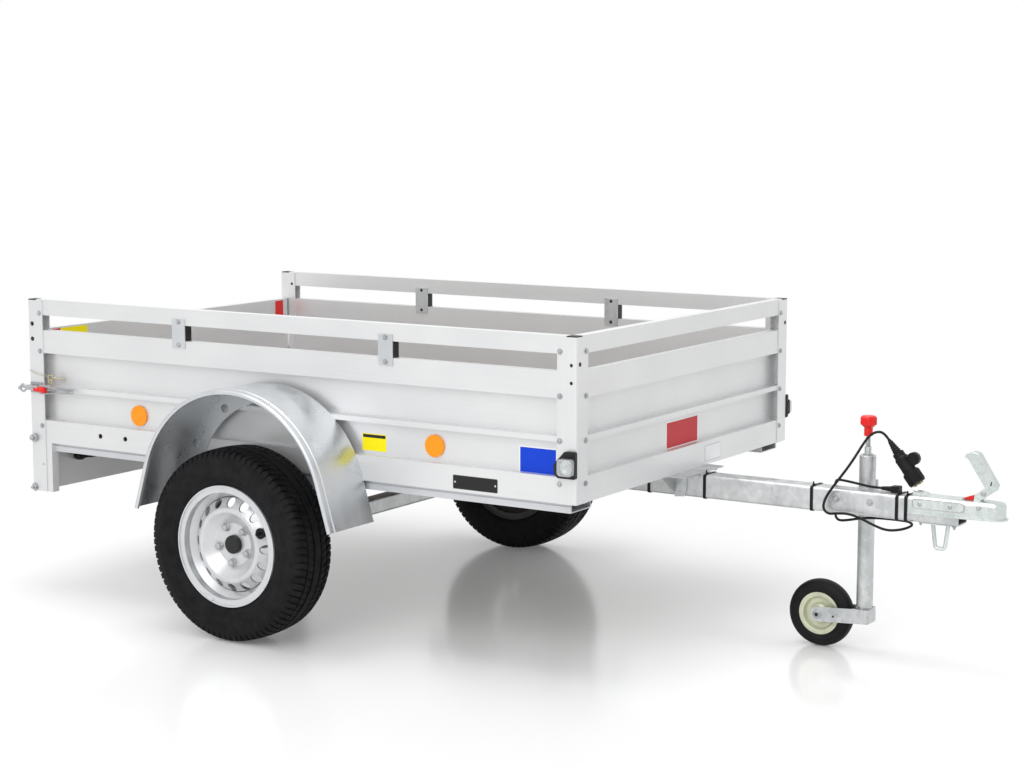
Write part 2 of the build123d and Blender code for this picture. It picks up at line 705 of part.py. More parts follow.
# Peaked base: distance ahead of the front post face, height above its lower edge.
marker_outline = ((3, 0), (3, 76), (-31, 75), (-66, 37), (-64, 9), (-53, 0))
marker_lens = (47.0, 47.0, 26.0)
marker_lens_back = 18.5     # lens's middle behind the front post face
marker_lens_rise = 33.5     # lens's middle above the base's lower edge
with BuildPart() as marker_brackets:
    for side in (-1, 1):
        with BuildSketch(outward(front_x, side, half_width, marker_low)) as marker_base:
            with BuildLine():
                Polyline(*[(x, -side * rise) for x, rise in marker_outline], close=True)
            make_face()
            fillet(marker_base.vertices(), marker_round)
        extrude(amount=marker_thick)
keep(marker_brackets, "marker_brackets")
with BuildPart() as marker_lenses:
    for side in (-1, 1):
        with BuildSketch(outward(front_x - marker_lens_back, side, half_width + marker_thick,
                                 marker_low + marker_lens_rise)):
            RectangleRounded(marker_lens[0], marker_lens[1], 2 * marker_round)
        extrude(amount=marker_lens[2])
    fillet(marker_lenses.faces().sort_by(Axis.Y)[0].edges(), marker_round)
    fillet(marker_lenses.faces().sort_by(Axis.Y)[-1].edges(), marker_round)
keep(marker_lenses, "marker_lenses")

reflector_radius = 32.5
reflector_thick = 6.0
reflector_table = ((448.0, 116.0), (1578.0, 120.0))    # ahead of the rear face, above the boards' foot
with BuildPart() as reflectors:
    for side in (-1, 1):
        for place, height in reflector_table:
            with BuildSketch(outward(rear_x + place, side, inner_face + skin_thick,
                                     board_bottom + height)):
                Circle(reflector_radius)
            extrude(amount=reflector_thick)
keep(reflectors, "side_reflectors")

# ---------------------------------------------------------------- tailgate latches
latch_height = board_bottom + keeper_height + rib_height / 2
latch_x = rear_x + 31.0
latch_plate = (50.0, 34.0, 4.0)
sleeve_radius = 8.5
sleeve_length = 52.0
latch_stand = 12.0          # sleeve's middle outside the plate
hook_wire = 3.5
bail_reach = 195.0
with BuildPart() as latches:
    for side in (-1, 1):
        stand = half_width + latch_plate[2] + latch_stand
        with Locations((latch_x, side * (half_width + latch_plate[2] / 2), latch_height)):
            Box(latch_plate[0], latch_plate[2], latch_plate[1])
        with Locations((latch_x, side * (half_width + latch_plate[2] + latch_stand / 2), latch_height)):
            Box(10, latch_stand, 12)
        with BuildSketch(Plane(origin=(latch_x + 22, side * stand, latch_height),
                               x_dir=(0, 1, 0), z_dir=(-1, 0, 0))):
            Circle(sleeve_radius)
        extrude(amount=sleeve_length)
        hook_start = latch_x + 22 - sleeve_length
        with BuildLine() as hook_line:
            FilletPolyline((hook_start + 5, side * stand, latch_height),
                           (rear_x - 20, side * stand, latch_height),
                           (rear_x - 20, side * (half_width - 18), latch_height), radius=9)
        with BuildSketch(Plane(origin=hook_line.line @ 0, z_dir=hook_line.line % 0)):
            Circle(hook_wire)
        sweep(path=hook_line.line)
        for drop in (-7, 7):
            wire_start = Vector(latch_x + 18, side * stand, latch_height + drop * 0.6)
            wire_end = Vector(rear_x + bail_reach, side * (half_width + latch_plate[2] + 5),
                              latch_height + 2 + drop * 0.2)
            wire_run = wire_end - wire_start
            with BuildSketch(Plane(origin=wire_start, z_dir=wire_run.normalized())):
                Circle(hook_wire * 0.8)
            extrude(amount=wire_run.length)
keep(latches, "tailgate_latches")

# ---------------------------------------------------------------- coupling
head_cover = 145.0          # coupling head laps the drawbar by this much
ball_radius = 25.0
ball_clear = 0.4
head_wall = 4.0
head_half = drawbar_half + seat_clear + head_wall
head_bend = 12.0            # outer bend radius of the head's sheet
socket_wall = 18.0          # straight wall of the socket under the ball's middle
head_low = 447.0            # underside of the lip
ball_height = head_low + socket_wall
nose_radius = 31.0
lip_width = 6.0
ball_x = nose_x - nose_radius - lip_width
head_rear = drawbar_front - head_cover
head_top = drawbar_top + head_wall
socket_radius = ball_radius + ball_clear
channel_half = drawbar_half + seat_clear
nose_shoulder = 8.0         # flat sides ahead of the drawbar's end
with BuildPart() as head:
    for grow, height in ((0, head_top - head_low), (lip_width, head_wall)):
        with BuildSketch(Plane.XY.offset(head_low)):
            with Locations((ball_x, 0)):
                Circle(nose_radius + grow)
            with Locations((drawbar_front, 0)):
                Rectangle(nose_shoulder, 2 * (head_half + grow), align=(Align.MIN, Align.CENTER))
            make_hull()
        extrude(amount=height)
        if grow == 0:
            rim_edges = head.edges().group_by(Axis.Z)[-1]
            fillet(rim_edges.sort_by(Axis.X)[1:], head_bend)
    with BuildSketch(Plane.YZ.offset(head_rear)):
        with BuildSketch(mode=Mode.PRIVATE) as head_outer:
            Rectangle(2 * head_half, head_top - head_low, align=(Align.CENTER, Align.MIN))
            fillet(head_outer.vertices().group_by(Axis.Y)[-1], head_bend)
        with BuildSketch(mode=Mode.PRIVATE) as head_hollow:
            Rectangle(2 * channel_half, drawbar_top - head_low, align=(Align.CENTER, Align.MIN))
            fillet(head_hollow.vertices().group_by(Axis.Y)[-1], head_bend - head_wall)
        with Locations((0, head_low)):
            add(head_outer.sketch)
            Rectangle(2 * (head_half + lip_width), head_wall, align=(Align.CENTER, Align.MIN))
            add(head_hollow.sketch, mode=Mode.SUBTRACT)
    extrude(amount=drawbar_front - head_rear)
    with BuildSketch(Plane(origin=(ball_x, 0, 0), x_dir=(1, 0, 0), z_dir=(0, -1, 0))):
        with BuildLine():
            socket_side = Line((socket_radius, head_low - 1), (socket_radius, ball_height))
            socket_roof = CenterArc((0, ball_height), socket_radius, 0, 90)
            Polyline(socket_roof @ 1, (0, head_low - 1), socket_side @ 0)
        make_face()
    revolve(axis=Axis((ball_x, 0, 0), (0, 0, 1)), mode=Mode.SUBTRACT)
keep(head, "coupling_head")

lever_width = 26.0
lever_sheet = 3.0
lever_back = 77.0           # foot of the lever behind the nose
lever_x = nose_x - lever_back
# Side view from the lever's foot on the head: an arm, an elbow and a beaked grip.
lever_outline = ((-18, 0), (0, 0), (13, 11), (43, 32), (47, 45), (36, 64), (-7, 133), (-22, 137),
                 (-41, 131), (-48, 120), (-36, 115), (-22, 93), (1, 58), (13, 39), (-4, 25), (-15, 18))
grip_hollow = ((2, 42), (29, 66), (-12, 124), (-37, 102))
with BuildPart() as lever:
    for outline, half, mode in ((lever_outline, lever_width / 2, Mode.ADD),
                                (grip_hollow, lever_width / 2 - lever_sheet, Mode.SUBTRACT)):
        with BuildSketch(Plane(origin=(lever_x, 0, head_top), x_dir=(1, 0, 0), z_dir=(0, -1, 0))):
            with BuildLine():
                Polyline(*outline, close=True)
            make_face()
        extrude(amount=half, both=True, mode=mode)
keep(lever, "coupling_lever")

loop_wire = 6.0
loop_back = 193.0           # support loop behind the nose
loop_x = nose_x - loop_back
loop_half = 23.0
loop_drop = 75.0
loop_plate = 3.0
loop_plate_length = 84.0
drawbar_low = drawbar_top - drawbar_size
with BuildPart() as loop:
    with Locations((loop_x, 0, drawbar_low - loop_plate / 2)):
        Box(loop_plate_length, drawbar_size - 10, loop_plate)
    with BuildLine() as loop_line:
        FilletPolyline((loop_x - loop_half, 0, drawbar_low - loop_plate + 1),
                       (loop_x - loop_half * 0.6, 0, drawbar_low - loop_drop),
                       (loop_x + loop_half * 0.6, 0, drawbar_low - loop_drop),
                       (loop_x + loop_half, 0, drawbar_low - loop_plate + 1), radius=10)
    with BuildSketch(Plane(origin=loop_line.line @ 0, z_dir=loop_line.line % 0)):
        Circle(loop_wire)
    sweep(path=loop_line.line)
keep(loop, "support_loop")

# ---------------------------------------------------------------- jockey wheel
jockey_back = 445.0         # jockey tube's axis behind the nose of the coupling
jockey_x = nose_x - jockey_back
jockey_radius = 24.0
jockey_wall = 2.5
clamp_plate = 5.0
clamp_ring = 5.0
jockey_y = drawbar_half + clamp_plate + clamp_ring + jockey_radius
clamp_low = 442.0
clamp_height = 44.0
clamp_length = 124.0
handle_screw = 5.0          # clamp's screw with a cross bar, on its far side
handle_boss = 12.0
handle_reach = 41.0
handle_bar = 5.5
handle_length = 70.0
tube_low = 135.0
tube_high = 582.0
tube_top = 4.0
tube_round = 3.0
with BuildPart() as clamp:
    with Locations((jockey_x, drawbar_half + clamp_plate / 2, clamp_low + clamp_height / 2)):
        Box(clamp_length, clamp_plate, clamp_height)
    with BuildSketch(Plane.XY.offset(clamp_low)):
        with Locations((jockey_x, jockey_y)):
            Circle(jockey_radius + clamp_ring)
        with Locations((jockey_x, drawbar_half + clamp_plate)):
            Rectangle(40, 20, align=(Align.CENTER, Align.MIN))
        with Locations((jockey_x, jockey_y)):
            Circle(jockey_radius + seat_clear, mode=Mode.SUBTRACT)
    extrude(amount=clamp_height)
    clamp_face = jockey_y + jockey_radius + clamp_ring
    clamp_middle = clamp_low + clamp_height / 2
    with BuildSketch(outward(jockey_x, 1, clamp_face - 1, clamp_middle)):
        Circle(handle_screw)
    extrude(amount=handle_reach + 1)
    with BuildSketch(outward(jockey_x, 1, clamp_face - 1, clamp_middle)):
        Circle(2 * handle_screw)
    extrude(amount=handle_boss + 1)
    with BuildSketch(Plane.XY.offset(clamp_middle - handle_length / 2)):
        with Locations((jockey_x, clamp_face + handle_reach)):
            Circle(handle_bar)
    extrude(amount=handle_length)
keep(clamp, "jockey_clamp")

with BuildPart() as outer_tube:
    with BuildSketch(Plane.XY.offset(tube_low)):
        with Locations((jockey_x, jockey_y)):
            Circle(jockey_radius)
            Circle(jockey_radius - jockey_wall, mode=Mode.SUBTRACT)
    extrude(amount=tube_high - tube_low)
    with BuildSketch(Plane.XY.offset(tube_high - tube_top)):
        with Locations((jockey_x, jockey_y)):
            Circle(jockey_radius)
    extrude(amount=tube_top)
    fillet(outer_tube.edges().sort_by(Axis.Z)[-1], tube_round)
keep(outer_tube, "jockey_tube")

nut_radius = 10.0
nut_height = 25.0
rod_radius = 6.0
rod_height = 56.0
knob_low = tube_high + rod_height
with BuildPart() as crank:
    with Locations((jockey_x, jockey_y, tube_high)):
        Cylinder(nut_radius, nut_height, align=(Align.CENTER, Align.CENTER, Align.MIN))
        Cylinder(rod_radius, knob_low - tube_high, align=(Align.CENTER, Align.CENTER, Align.MIN))
keep(crank, "jockey_spindle")

knob_radius = 23.5
knob_neck = 12.5
knob_neck_height = 24.0
knob_bevel = 5.0
knob_height = 58.0
flute_count = 8
flute_radius = 5.0
with BuildPart() as knob:
    with BuildSketch(Plane(origin=(jockey_x, jockey_y, knob_low), x_dir=(1, 0, 0), z_dir=(0, -1, 0))):
        with BuildLine():
            Polyline((0, 0), (knob_neck, 0), (knob_neck, knob_neck_height),
                     (knob_radius - knob_bevel, knob_neck_height + knob_bevel),
                     (knob_radius, knob_neck_height + 2 * knob_bevel),
                     (knob_radius, knob_height - knob_bevel),
                     (knob_radius - knob_bevel, knob_height), (0, knob_height), close=True)
        make_face()
    revolve(axis=Axis((jockey_x, jockey_y, 0), (0, 0, 1)))
    with BuildSketch(Plane.XY.offset(knob_low + knob_neck_height)):
        with Locations((jockey_x, jockey_y)):
            with PolarLocations(knob_radius + flute_radius / 2, flute_count):
                Circle(flute_radius)
    extrude(amount=knob_height, mode=Mode.SUBTRACT)
keep(knob, "jockey_knob")

slide_clear = 0.3
inner_radius = jockey_radius - jockey_wall - slide_clear
inner_length = 320.0
inner_wall = 3.0
inner_plug = 4.0            # solid ends of the inner tube
fork_top = 130.0
swivel_radius = 9.0
swivel_depth = 30.0
with BuildPart() as inner_tube:
    with Locations((jockey_x, jockey_y, fork_top)):
        Cylinder(inner_radius, inner_length, align=(Align.CENTER, Align.CENTER, Align.MIN))
        Cylinder(inner_radius - inner_wall, inner_length - inner_plug,
                 align=(Align.CENTER, Align.CENTER, Align.MIN), mode=Mode.SUBTRACT)
        Cylinder(inner_radius, inner_plug, align=(Align.CENTER, Align.CENTER, Align.MIN))
        Cylinder(swivel_radius, swivel_depth, align=(Align.CENTER, Align.CENTER, Align.MAX))
keep(inner_tube, "jockey_inner_tube")

small_radius = 100.0
small_width = 50.0
small_rim = 63.0
trail = 134.0
small_x = jockey_x - trail
fork_gap = 5.0
fork_plate = 4.0
fork_low = 88.0
fork_end = 22.0             # rounded rear ends, radius
fork_bend = 9.0             # bends round the tube's front
fork_web = 12.0
fork_half = small_width / 2 + fork_gap
axle_radius = 7.0
axle_proud = 6.0
with BuildPart() as fork:
    with BuildSketch(Plane.XY.offset(fork_low)):
        with BuildSketch(mode=Mode.PRIVATE) as saddle:
            Rectangle(2 * jockey_radius, 2 * (fork_half + fork_plate))
            fillet(saddle.vertices().group_by(Axis.X)[-1], fork_bend)
        with BuildSketch(mode=Mode.PRIVATE) as saddle_hollow:
            with Locations((-fork_plate, 0)):
                Rectangle(2 * jockey_radius, 2 * fork_half)
            fillet(saddle_hollow.vertices().group_by(Axis.X)[-1], fork_bend - fork_plate)
        with Locations((jockey_x, jockey_y)):
            add(saddle.sketch)
            add(saddle_hollow.sketch, mode=Mode.SUBTRACT)
            Circle(jockey_radius)
            Rectangle(fork_web, 2 * fork_half)
            Circle(swivel_radius + pin_clear, mode=Mode.SUBTRACT)
    extrude(amount=fork_top - fork_low)
    for side in (-1, 1):
        with BuildSketch(Plane(origin=(0, jockey_y + side * fork_half, 0), x_dir=(1, 0, 0),
                               z_dir=(0, -1, 0))):
            with Locations((jockey_x, (fork_low + fork_top) / 2)):
                Rectangle(fork_web, fork_top - fork_low)
            with Locations((small_x, small_radius)):
                Circle(fork_end)
            make_hull()
        extrude(amount=-side * fork_plate)
    with BuildSketch(Plane(origin=(small_x, jockey_y - fork_half - fork_plate - axle_proud, small_radius),
                           x_dir=(1, 0, 0), z_dir=(0, 1, 0))):
        Circle(axle_radius)
    extrude(amount=2 * (fork_half + fork_plate + axle_proud))
keep(fork, "jockey_fork")

small_centre = (small_x, jockey_y, small_radius)
small_plane = Plane(origin=small_centre, x_dir=(0, 1, 0), z_dir=(1, 0, 0))
small_axis = Axis(small_centre, (0, 1, 0))
small_half = small_width / 2
small_seat = small_half - 3
small_shoulder = 4.0        # tread's edge below its middle
with BuildPart() as small_tyre:
    with BuildSketch(small_plane):
        with BuildLine():
            seat_line = Line((small_seat, small_rim + seat_clear), (-small_seat, small_rim + seat_clear))
            left_arc = ThreePointArc(seat_line @ 1, (-small_half, small_rim + 15),
                                     (-small_half + 8, small_radius - small_shoulder))
            tread_arc = ThreePointArc(left_arc @ 1, (0, small_radius),
                                      (small_half - 8, small_radius - small_shoulder))
            ThreePointArc(tread_arc @ 1, (small_half, small_rim + 15), seat_line @ 0)
        make_face()
    revolve(axis=small_axis)
keep(small_tyre, "jockey_tyre")

# Dished rim, half section: distance from the wheel's middle plane, radius.
small_dish = ((small_half, 17), (small_half - 5, 28), (small_half - 15, 32), (small_half - 15, 44),
              (small_half - 5, 50), (small_seat, 57))
small_bore = axle_radius + pin_clear
with BuildPart() as small_wheel:
    with BuildSketch(small_plane):
        with BuildLine():
            Polyline((-small_half, small_bore), (small_half, small_bore), *small_dish,
                     (small_seat, small_rim), (-small_seat, small_rim),
                     *[(-across, radius) for across, radius in reversed(small_dish)], close=True)
        make_face()
    revolve(axis=small_axis)
keep(small_wheel, "jockey_rim")

# ---------------------------------------------------------------- trailer cable
cable_radius = 3.75
# The free cable's route: along the drawbar's top, down its far side, under it and back in a
# loop, up past the jockey spindle and over into the plug.
cable_route = (
    (1176, 8, 501), (1141, 8, 501), (1101, 7, 507), (1066, 12, 510), (1033, 28, 509),
    (1012, 56, 497), (1005, 72, 463), (1008, 70, 426), (1017, 48, 397), (1038, 24, 389),
    (1071, 15, 395), (1114, 14, 406), (1159, 15, 411), (1198, 15, 412), (1228, 15, 412),
    (1258, 14, 411), (1280, -10, 409), (1280, -43, 406), (1258, -66, 400), (1222, -67, 396),
    (1182, -63, 406), (1139, -59, 422), (1100, -57, 430), (1065, -56, 426), (1039, -56, 422),
    (1023, -56, 438), (1031, -56, 468), (1051, -55, 499), (1071, -47, 529), (1086, -25, 558),
    (1097, 3, 588), (1108, 26, 619), (1122, 43, 645), (1142, 51, 656), (1163, 51, 652),
    (1177, 51, 634),
)


def bend_radii(route):
    """Radius of each corner's arc: 0.45 of its shorter run over the tangent of half its turn."""
    points = [Vector(*point) for point in route]
    radii = []
    for before, corner, after in zip(points, points[1:], points[2:]):
        turn = (corner - before).get_angle(after - corner)
        shorter = min((corner - before).length, (after - corner).length)
        radii.append(0.45 * shorter / tan(radians(turn / 2)))
    return radii


cable_radii = bend_radii(cable_route)
with BuildPart() as cable:
    with BuildLine() as cable_line:
        FilletPolyline(*cable_route, radius=cable_radii)
    with BuildSketch(Plane(origin=cable_line.line @ 0, z_dir=cable_line.line % 0)):
        Circle(cable_radius)
    sweep(path=cable_line.line)
cable_length = sum(edge.length for edge in cable_line.edges())
print("cable length", round(cable_length, 1), "mm, tightest bend", round(min(cable_radii)), "mm")
keep(cable, "trailer_cable")

gland_cone = 33.0
gland_tip = 5.0
gland_root = 8.5
gland_body = (24.0, 24.0, 19.0)
exit_x, exit_y, exit_z = cable_route[0]
hood_size = (18.0, 12.0, 14.0)
hood_back = 118.0           # jockey tube's axis to where the fixed cable ends in its hood
hood_x = jockey_x - hood_back
fixed_height = 434.0
fixed_y = drawbar_half + seat_clear + cable_radius
with BuildPart() as gland:
    with BuildSketch(Plane(origin=(exit_x, exit_y, exit_z), x_dir=(0, 1, 0), z_dir=(1, 0, 0))):
        Circle(gland_tip)
    with BuildSketch(Plane(origin=(exit_x + gland_cone, exit_y, exit_z), x_dir=(0, 1, 0),
                           z_dir=(1, 0, 0))):
        Circle(gland_root)
    loft()
    with Locations((exit_x + gland_cone + gland_body[0] / 2, exit_y,
                    drawbar_top + gland_body[2] / 2)):
        Box(*gland_body)
    with Locations((hood_x + hood_size[0] / 2, drawbar_half + hood_size[1] / 2, fixed_height)):
        Box(*hood_size)
keep(gland, "cable_glands")

plug_start = Vector(*cable_route[-1])
plug_axis = (plug_start - Vector(*cable_route[-2])).normalized()
plug_side = plug_axis.cross(Vector(0, 1, 0))
plug_length = 148.0
# Half section along the plug: distance from the axis, distance from the cable's end.
plug_outline = ((0, 0), (gland_tip, 0), (12, 42), (17, 45), (17, 58), (20, 62), (20, 106), (24, 109),
                (24, plug_length), (0, plug_length))
lid_radius = 18.5
lid_thick = 16.0
lid_place = 84.0            # along the plug from the cable's end
lid_offset = 31.0           # lid's middle from the plug's axis
with BuildPart() as plug:
    with BuildSketch(Plane(origin=plug_start, x_dir=(0, 1, 0), z_dir=-plug_side)):
        with BuildLine():
            Polyline(*plug_outline, close=True)
        make_face()
    revolve(axis=Axis(plug_start, plug_axis))
    lid_middle = plug_start + plug_axis * lid_place + plug_side * lid_offset
    with BuildSketch(Plane(origin=lid_middle - Vector(0, lid_thick / 2, 0), x_dir=(1, 0, 0),
                           z_dir=(0, 1, 0))):
        Circle(lid_radius)
    extrude(amount=lid_thick)
keep(plug, "trailer_plug")

# ---------------------------------------------------------------- fixed cable and ties
lamp_plug_radius = 13.0
lamp_plug_length = 28.0
lamp_plug_y = -500.0
lamp_plug_z = 429.0
beam_front = gate_outer + beam_depth
with BuildPart() as lamp_plug:
    with BuildSketch(Plane(origin=(beam_front, lamp_plug_y, lamp_plug_z), x_dir=(0, 1, 0),
                           z_dir=(1, 0, 0))):
        Circle(lamp_plug_radius)
    extrude(amount=lamp_plug_length)
keep(lamp_plug, "lamp_plug")

fixed_route = (
    (beam_front + lamp_plug_length, lamp_plug_y, lamp_plug_z), (-1400, -500, 429),
    (-1330, -497, 454), (-1200, -455, 459), (-640, -110, 459), (-540, -20, 457), (-478, 41, 449),
    (-385, fixed_y, 437), (-290, fixed_y, fixed_height), (hood_x, fixed_y, fixed_height),
)
with BuildPart() as fixed_cable:
    with BuildLine() as fixed_line:
        FilletPolyline(*fixed_route, radius=bend_radii(fixed_route))
    with BuildSketch(Plane(origin=fixed_line.line @ 0, z_dir=fixed_line.line % 0)):
        Circle(cable_radius)
    sweep(path=fixed_line.line)
keep(fixed_cable, "fixed_cable")

tie_width = 5.0
tie_thick = 1.5
# Three ties hold the fixed cable and two more go round the drawbar alone.
cable_tie_places = (front_x - 123.0, front_x + 65.0, jockey_x - 130.0)
plain_tie_places = (drawbar_front - 184.0, drawbar_front - 157.0)
with BuildPart() as ties:
    for place in cable_tie_places + plain_tie_places:
        for grow, mode in ((seat_clear + tie_thick, Mode.ADD), (seat_clear, Mode.SUBTRACT)):
            with BuildSketch(Plane.YZ.offset(place)):
                with Locations((0, drawbar_top - drawbar_half)):
                    RectangleRounded(drawbar_size + 2 * grow, drawbar_size + 2 * grow,
                                     drawbar_wall * 2 + grow)
                if place in cable_tie_places:
                    with Locations((fixed_y, fixed_height)):
                        Circle(cable_radius + grow)
                        Rectangle(drawbar_wall * 3, 2 * (cable_radius + grow),
                                  align=(Align.MAX, Align.CENTER))
            extrude(amount=tie_width, mode=mode)
keep(ties, "cable_ties")

for piece in pieces:
    export_step(piece, "parts/" + piece.label + ".step")
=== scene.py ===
# %% [markdown]
# # A single-axle box trailer
#
# This notebook dresses a measured trailer. The solid parts come in at their real size, in
# metres, with +X towards the coupling, +Y to the left and +Z up. Each cell adds one finish or
# one kind of piece. Places are written in millimetres in that same frame, and faces that a
# solid part can give are read from its box, so that a bolt sits on what it holds.

# %% Load the measured frame
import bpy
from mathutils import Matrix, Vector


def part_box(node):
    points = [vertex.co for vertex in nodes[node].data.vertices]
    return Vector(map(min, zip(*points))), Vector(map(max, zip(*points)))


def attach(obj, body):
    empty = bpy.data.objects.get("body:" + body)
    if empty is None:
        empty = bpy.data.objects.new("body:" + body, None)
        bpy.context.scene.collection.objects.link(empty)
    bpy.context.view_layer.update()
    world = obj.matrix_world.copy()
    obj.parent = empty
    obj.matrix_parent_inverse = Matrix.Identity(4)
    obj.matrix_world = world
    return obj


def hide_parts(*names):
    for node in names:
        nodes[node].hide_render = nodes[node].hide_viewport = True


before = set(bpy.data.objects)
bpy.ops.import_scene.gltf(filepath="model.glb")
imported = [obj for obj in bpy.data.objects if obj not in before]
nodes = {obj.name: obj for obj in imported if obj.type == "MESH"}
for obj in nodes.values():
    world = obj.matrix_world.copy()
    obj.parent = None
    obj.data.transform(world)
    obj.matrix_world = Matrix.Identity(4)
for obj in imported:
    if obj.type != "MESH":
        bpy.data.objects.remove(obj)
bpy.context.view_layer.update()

# %% Bring in Blender and its maths
import math
import bmesh
import bpy
from mathutils import Matrix, Vector

# %% Read faces and middles off the solid parts
X, Y, Z = 0, 1, 2


def highest(node, axis):
    """A part's highest place along an axis, in millimetres to the nearest tenth."""
    return round(1000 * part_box(node)[1][axis], 1)


def lowest(node, axis):
    """A part's lowest place along an axis, in the same way."""
    return round(1000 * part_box(node)[0][axis], 1)


def middle_of(node, axis):
    """Halfway between a part's lowest and highest place along an axis."""
    return round(500 * (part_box(node)[0][axis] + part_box(node)[1][axis]), 1)


print("box", 2 * highest("side_walls", Y), "mm wide, axle at x", middle_of("rim_right", X))

# %% [markdown]
# ## Camera
#
# The trailer is looked at from its front right corner, from about six and a half metres away
# and a little above the walls. A long lens keeps the box's edges nearly parallel, as a
# catalogue does.

# %% Place the camera
CAMERA_PLACE = (3.4393, -5.5107, 1.5901)
CAMERA_DOWN = 7.6636                    # degrees below the horizon
CAMERA_TURN = 32.4809                   # degrees from looking along +Y, towards -X
LENS, SENSOR_WIDTH = 73.53, 36.0        # millimetres

camera_data = bpy.data.cameras.new("camera")
camera_data.lens = LENS
camera_data.sensor_width = SENSOR_WIDTH
camera = bpy.data.objects.new("camera", camera_data)
bpy.context.scene.collection.objects.link(camera)
camera.location = CAMERA_PLACE
camera.rotation_euler = (math.radians(90 - CAMERA_DOWN), 0, math.radians(CAMERA_TURN))
bpy.context.scene.camera = camera
print("camera", CAMERA_DOWN, "degrees down,", LENS, "mm")

# %% [markdown]
# ## Shader maths
#
# A node tree is quicker to read as an expression. `Field` wraps one socket, and its operators
# add Math nodes, so `1 - mask * 0.4` builds what it says. `Nodes` wraps a tree and has one
# method, `add`, for every kind of node: its type, its settings, then its inputs. `Finish` is
# the tree of one material, with a short name for each texture that the finishes share.

# %% Wrap sockets and node trees


class Field:
    """A shader socket that takes part in sums."""

    def __init__(self, owner, socket):
        self.owner = owner
        self.socket = socket

    def __add__(self, other):
        return self.owner.math("ADD", self, other)

    def __radd__(self, other):
        return self.owner.math("ADD", other, self)

    def __sub__(self, other):
        return self.owner.math("SUBTRACT", self, other)

    def __rsub__(self, other):
        return self.owner.math("SUBTRACT", other, self)

    def __mul__(self, other):
        return self.owner.math("MULTIPLY", self, other)

    def __rmul__(self, other):
        return self.owner.math("MULTIPLY", other, self)

    def __gt__(self, other):
        return self.owner.math("GREATER_THAN", self, other)

    def __lt__(self, other):
        return self.owner.math("LESS_THAN", self, other)

    def __abs__(self):
        return self.owner.math("ABSOLUTE", self)


class Nodes:
    """A node tree that expressions add to."""

    def __init__(self, tree):
        self.tree = tree

    def put(self, socket, value):
        """Link a field to a socket, or set the socket's own value."""
        if isinstance(value, Field):
            self.tree.links.new(value.socket, socket)
        else:
            socket.default_value = value

    def add(self, kind, settings=None, inputs=None, output=0):
        """Add a node: its type, its settings, its sockets' values or links."""
        node = self.tree.nodes.new(kind)
        for key, value in (settings or {}).items():
            setattr(node, key, value)
        for key, value in (inputs or {}).items():
            self.put(node.inputs[key], value)
        return Field(self, node.outputs[output])

    def math(self, operation, *terms, **settings):
        """One Math node over fields and numbers."""
        return self.add("ShaderNodeMath", {"operation": operation, **settings}, dict(enumerate(terms)))


print("operators ready: + - * > < abs")

# %% Wrap one material


class Finish(Nodes):
    """One material while it is being built."""

    def __init__(self, name, **constants):
        self.material = bpy.data.materials.new(name)
        self.material.use_nodes = True
        super().__init__(self.material.node_tree)
        self.shader = self.tree.nodes["Principled BSDF"]
        self.paint(**constants)

    def paint(self, **sockets):
        """Set or link the shader's sockets."""
        for socket, value in sockets.items():
            self.put(self.shader.inputs[socket.replace("_", " ")], value)
        return self.material

    def place(self, scale=(1, 1, 1)):
        """Where a point is on its piece, in metres, stretched by scale."""
        where = self.add("ShaderNodeTexCoord", output="Object")
        return self.add("ShaderNodeVectorMath", {"operation": "MULTIPLY"}, {0: where, 1: scale})

    def split(self):
        """Where a point is on its piece, as three fields."""
        first = self.add("ShaderNodeSeparateXYZ", None, {"Vector": self.place()})
        return [Field(self, output) for output in first.socket.node.outputs]

    def noise(self, scale, stretch=(1, 1, 1), detail=3.0, rough=0.55):
        """Cloudy value around 0.5; scale is in blotches to the metre."""
        return self.add("ShaderNodeTexNoise", None, {
            "Vector": self.place(stretch), "Scale": scale, "Detail": detail, "Roughness": rough})

    def cells(self, scale, output="Distance"):
        """Crystal-like cells; output Color gives each cell a random colour."""
        return self.add("ShaderNodeTexVoronoi", None, {"Vector": self.place(), "Scale": scale}, output)

    def level(self, field, low, high):
        """Stretch the part of a field between low and high over 0 to 1."""
        return self.add("ShaderNodeMapRange", None, {"Value": field, "From Min": low, "From Max": high})

    def mix(self, mask, colour_a, colour_b):
        """Colour a where mask is 0 and colour b where it is 1."""
        return self.add("ShaderNodeMix", {"data_type": "RGBA"}, {
            "Factor": mask, 6: colour_a, 7: colour_b}, output=2)

    def bump(self, height, distance, strength):
        """Normal that a height field, in parts of distance metres, gives the surface."""
        return self.add("ShaderNodeBump", None, {
            "Height": height, "Distance": distance, "Strength": strength}, output="Normal")


def rgb(red, green, blue):
    return (red, green, blue, 1.0)


print("a finish can:", [name for name in vars(Finish) if not name.startswith("_")])

# %% [markdown]
# ## Anodised aluminium
#
# The walls are drawn profiles: they come out of a die, so fine scratches run along them. The
# anodised skin is matt and pale. Streaks are a noise pressed flat across the profile and left
# long along it, so each run of profile needs to know which way it was drawn.

# %% Aluminium, drawn along one axis
ALONG, ACROSS = 1.2, 240.0        # streaks to the metre along the profile and across it
DRAWN = {"x": (ALONG, ACROSS, ACROSS), "y": (ACROSS, ALONG, ACROSS), "z": (ACROSS, ACROSS, ALONG)}


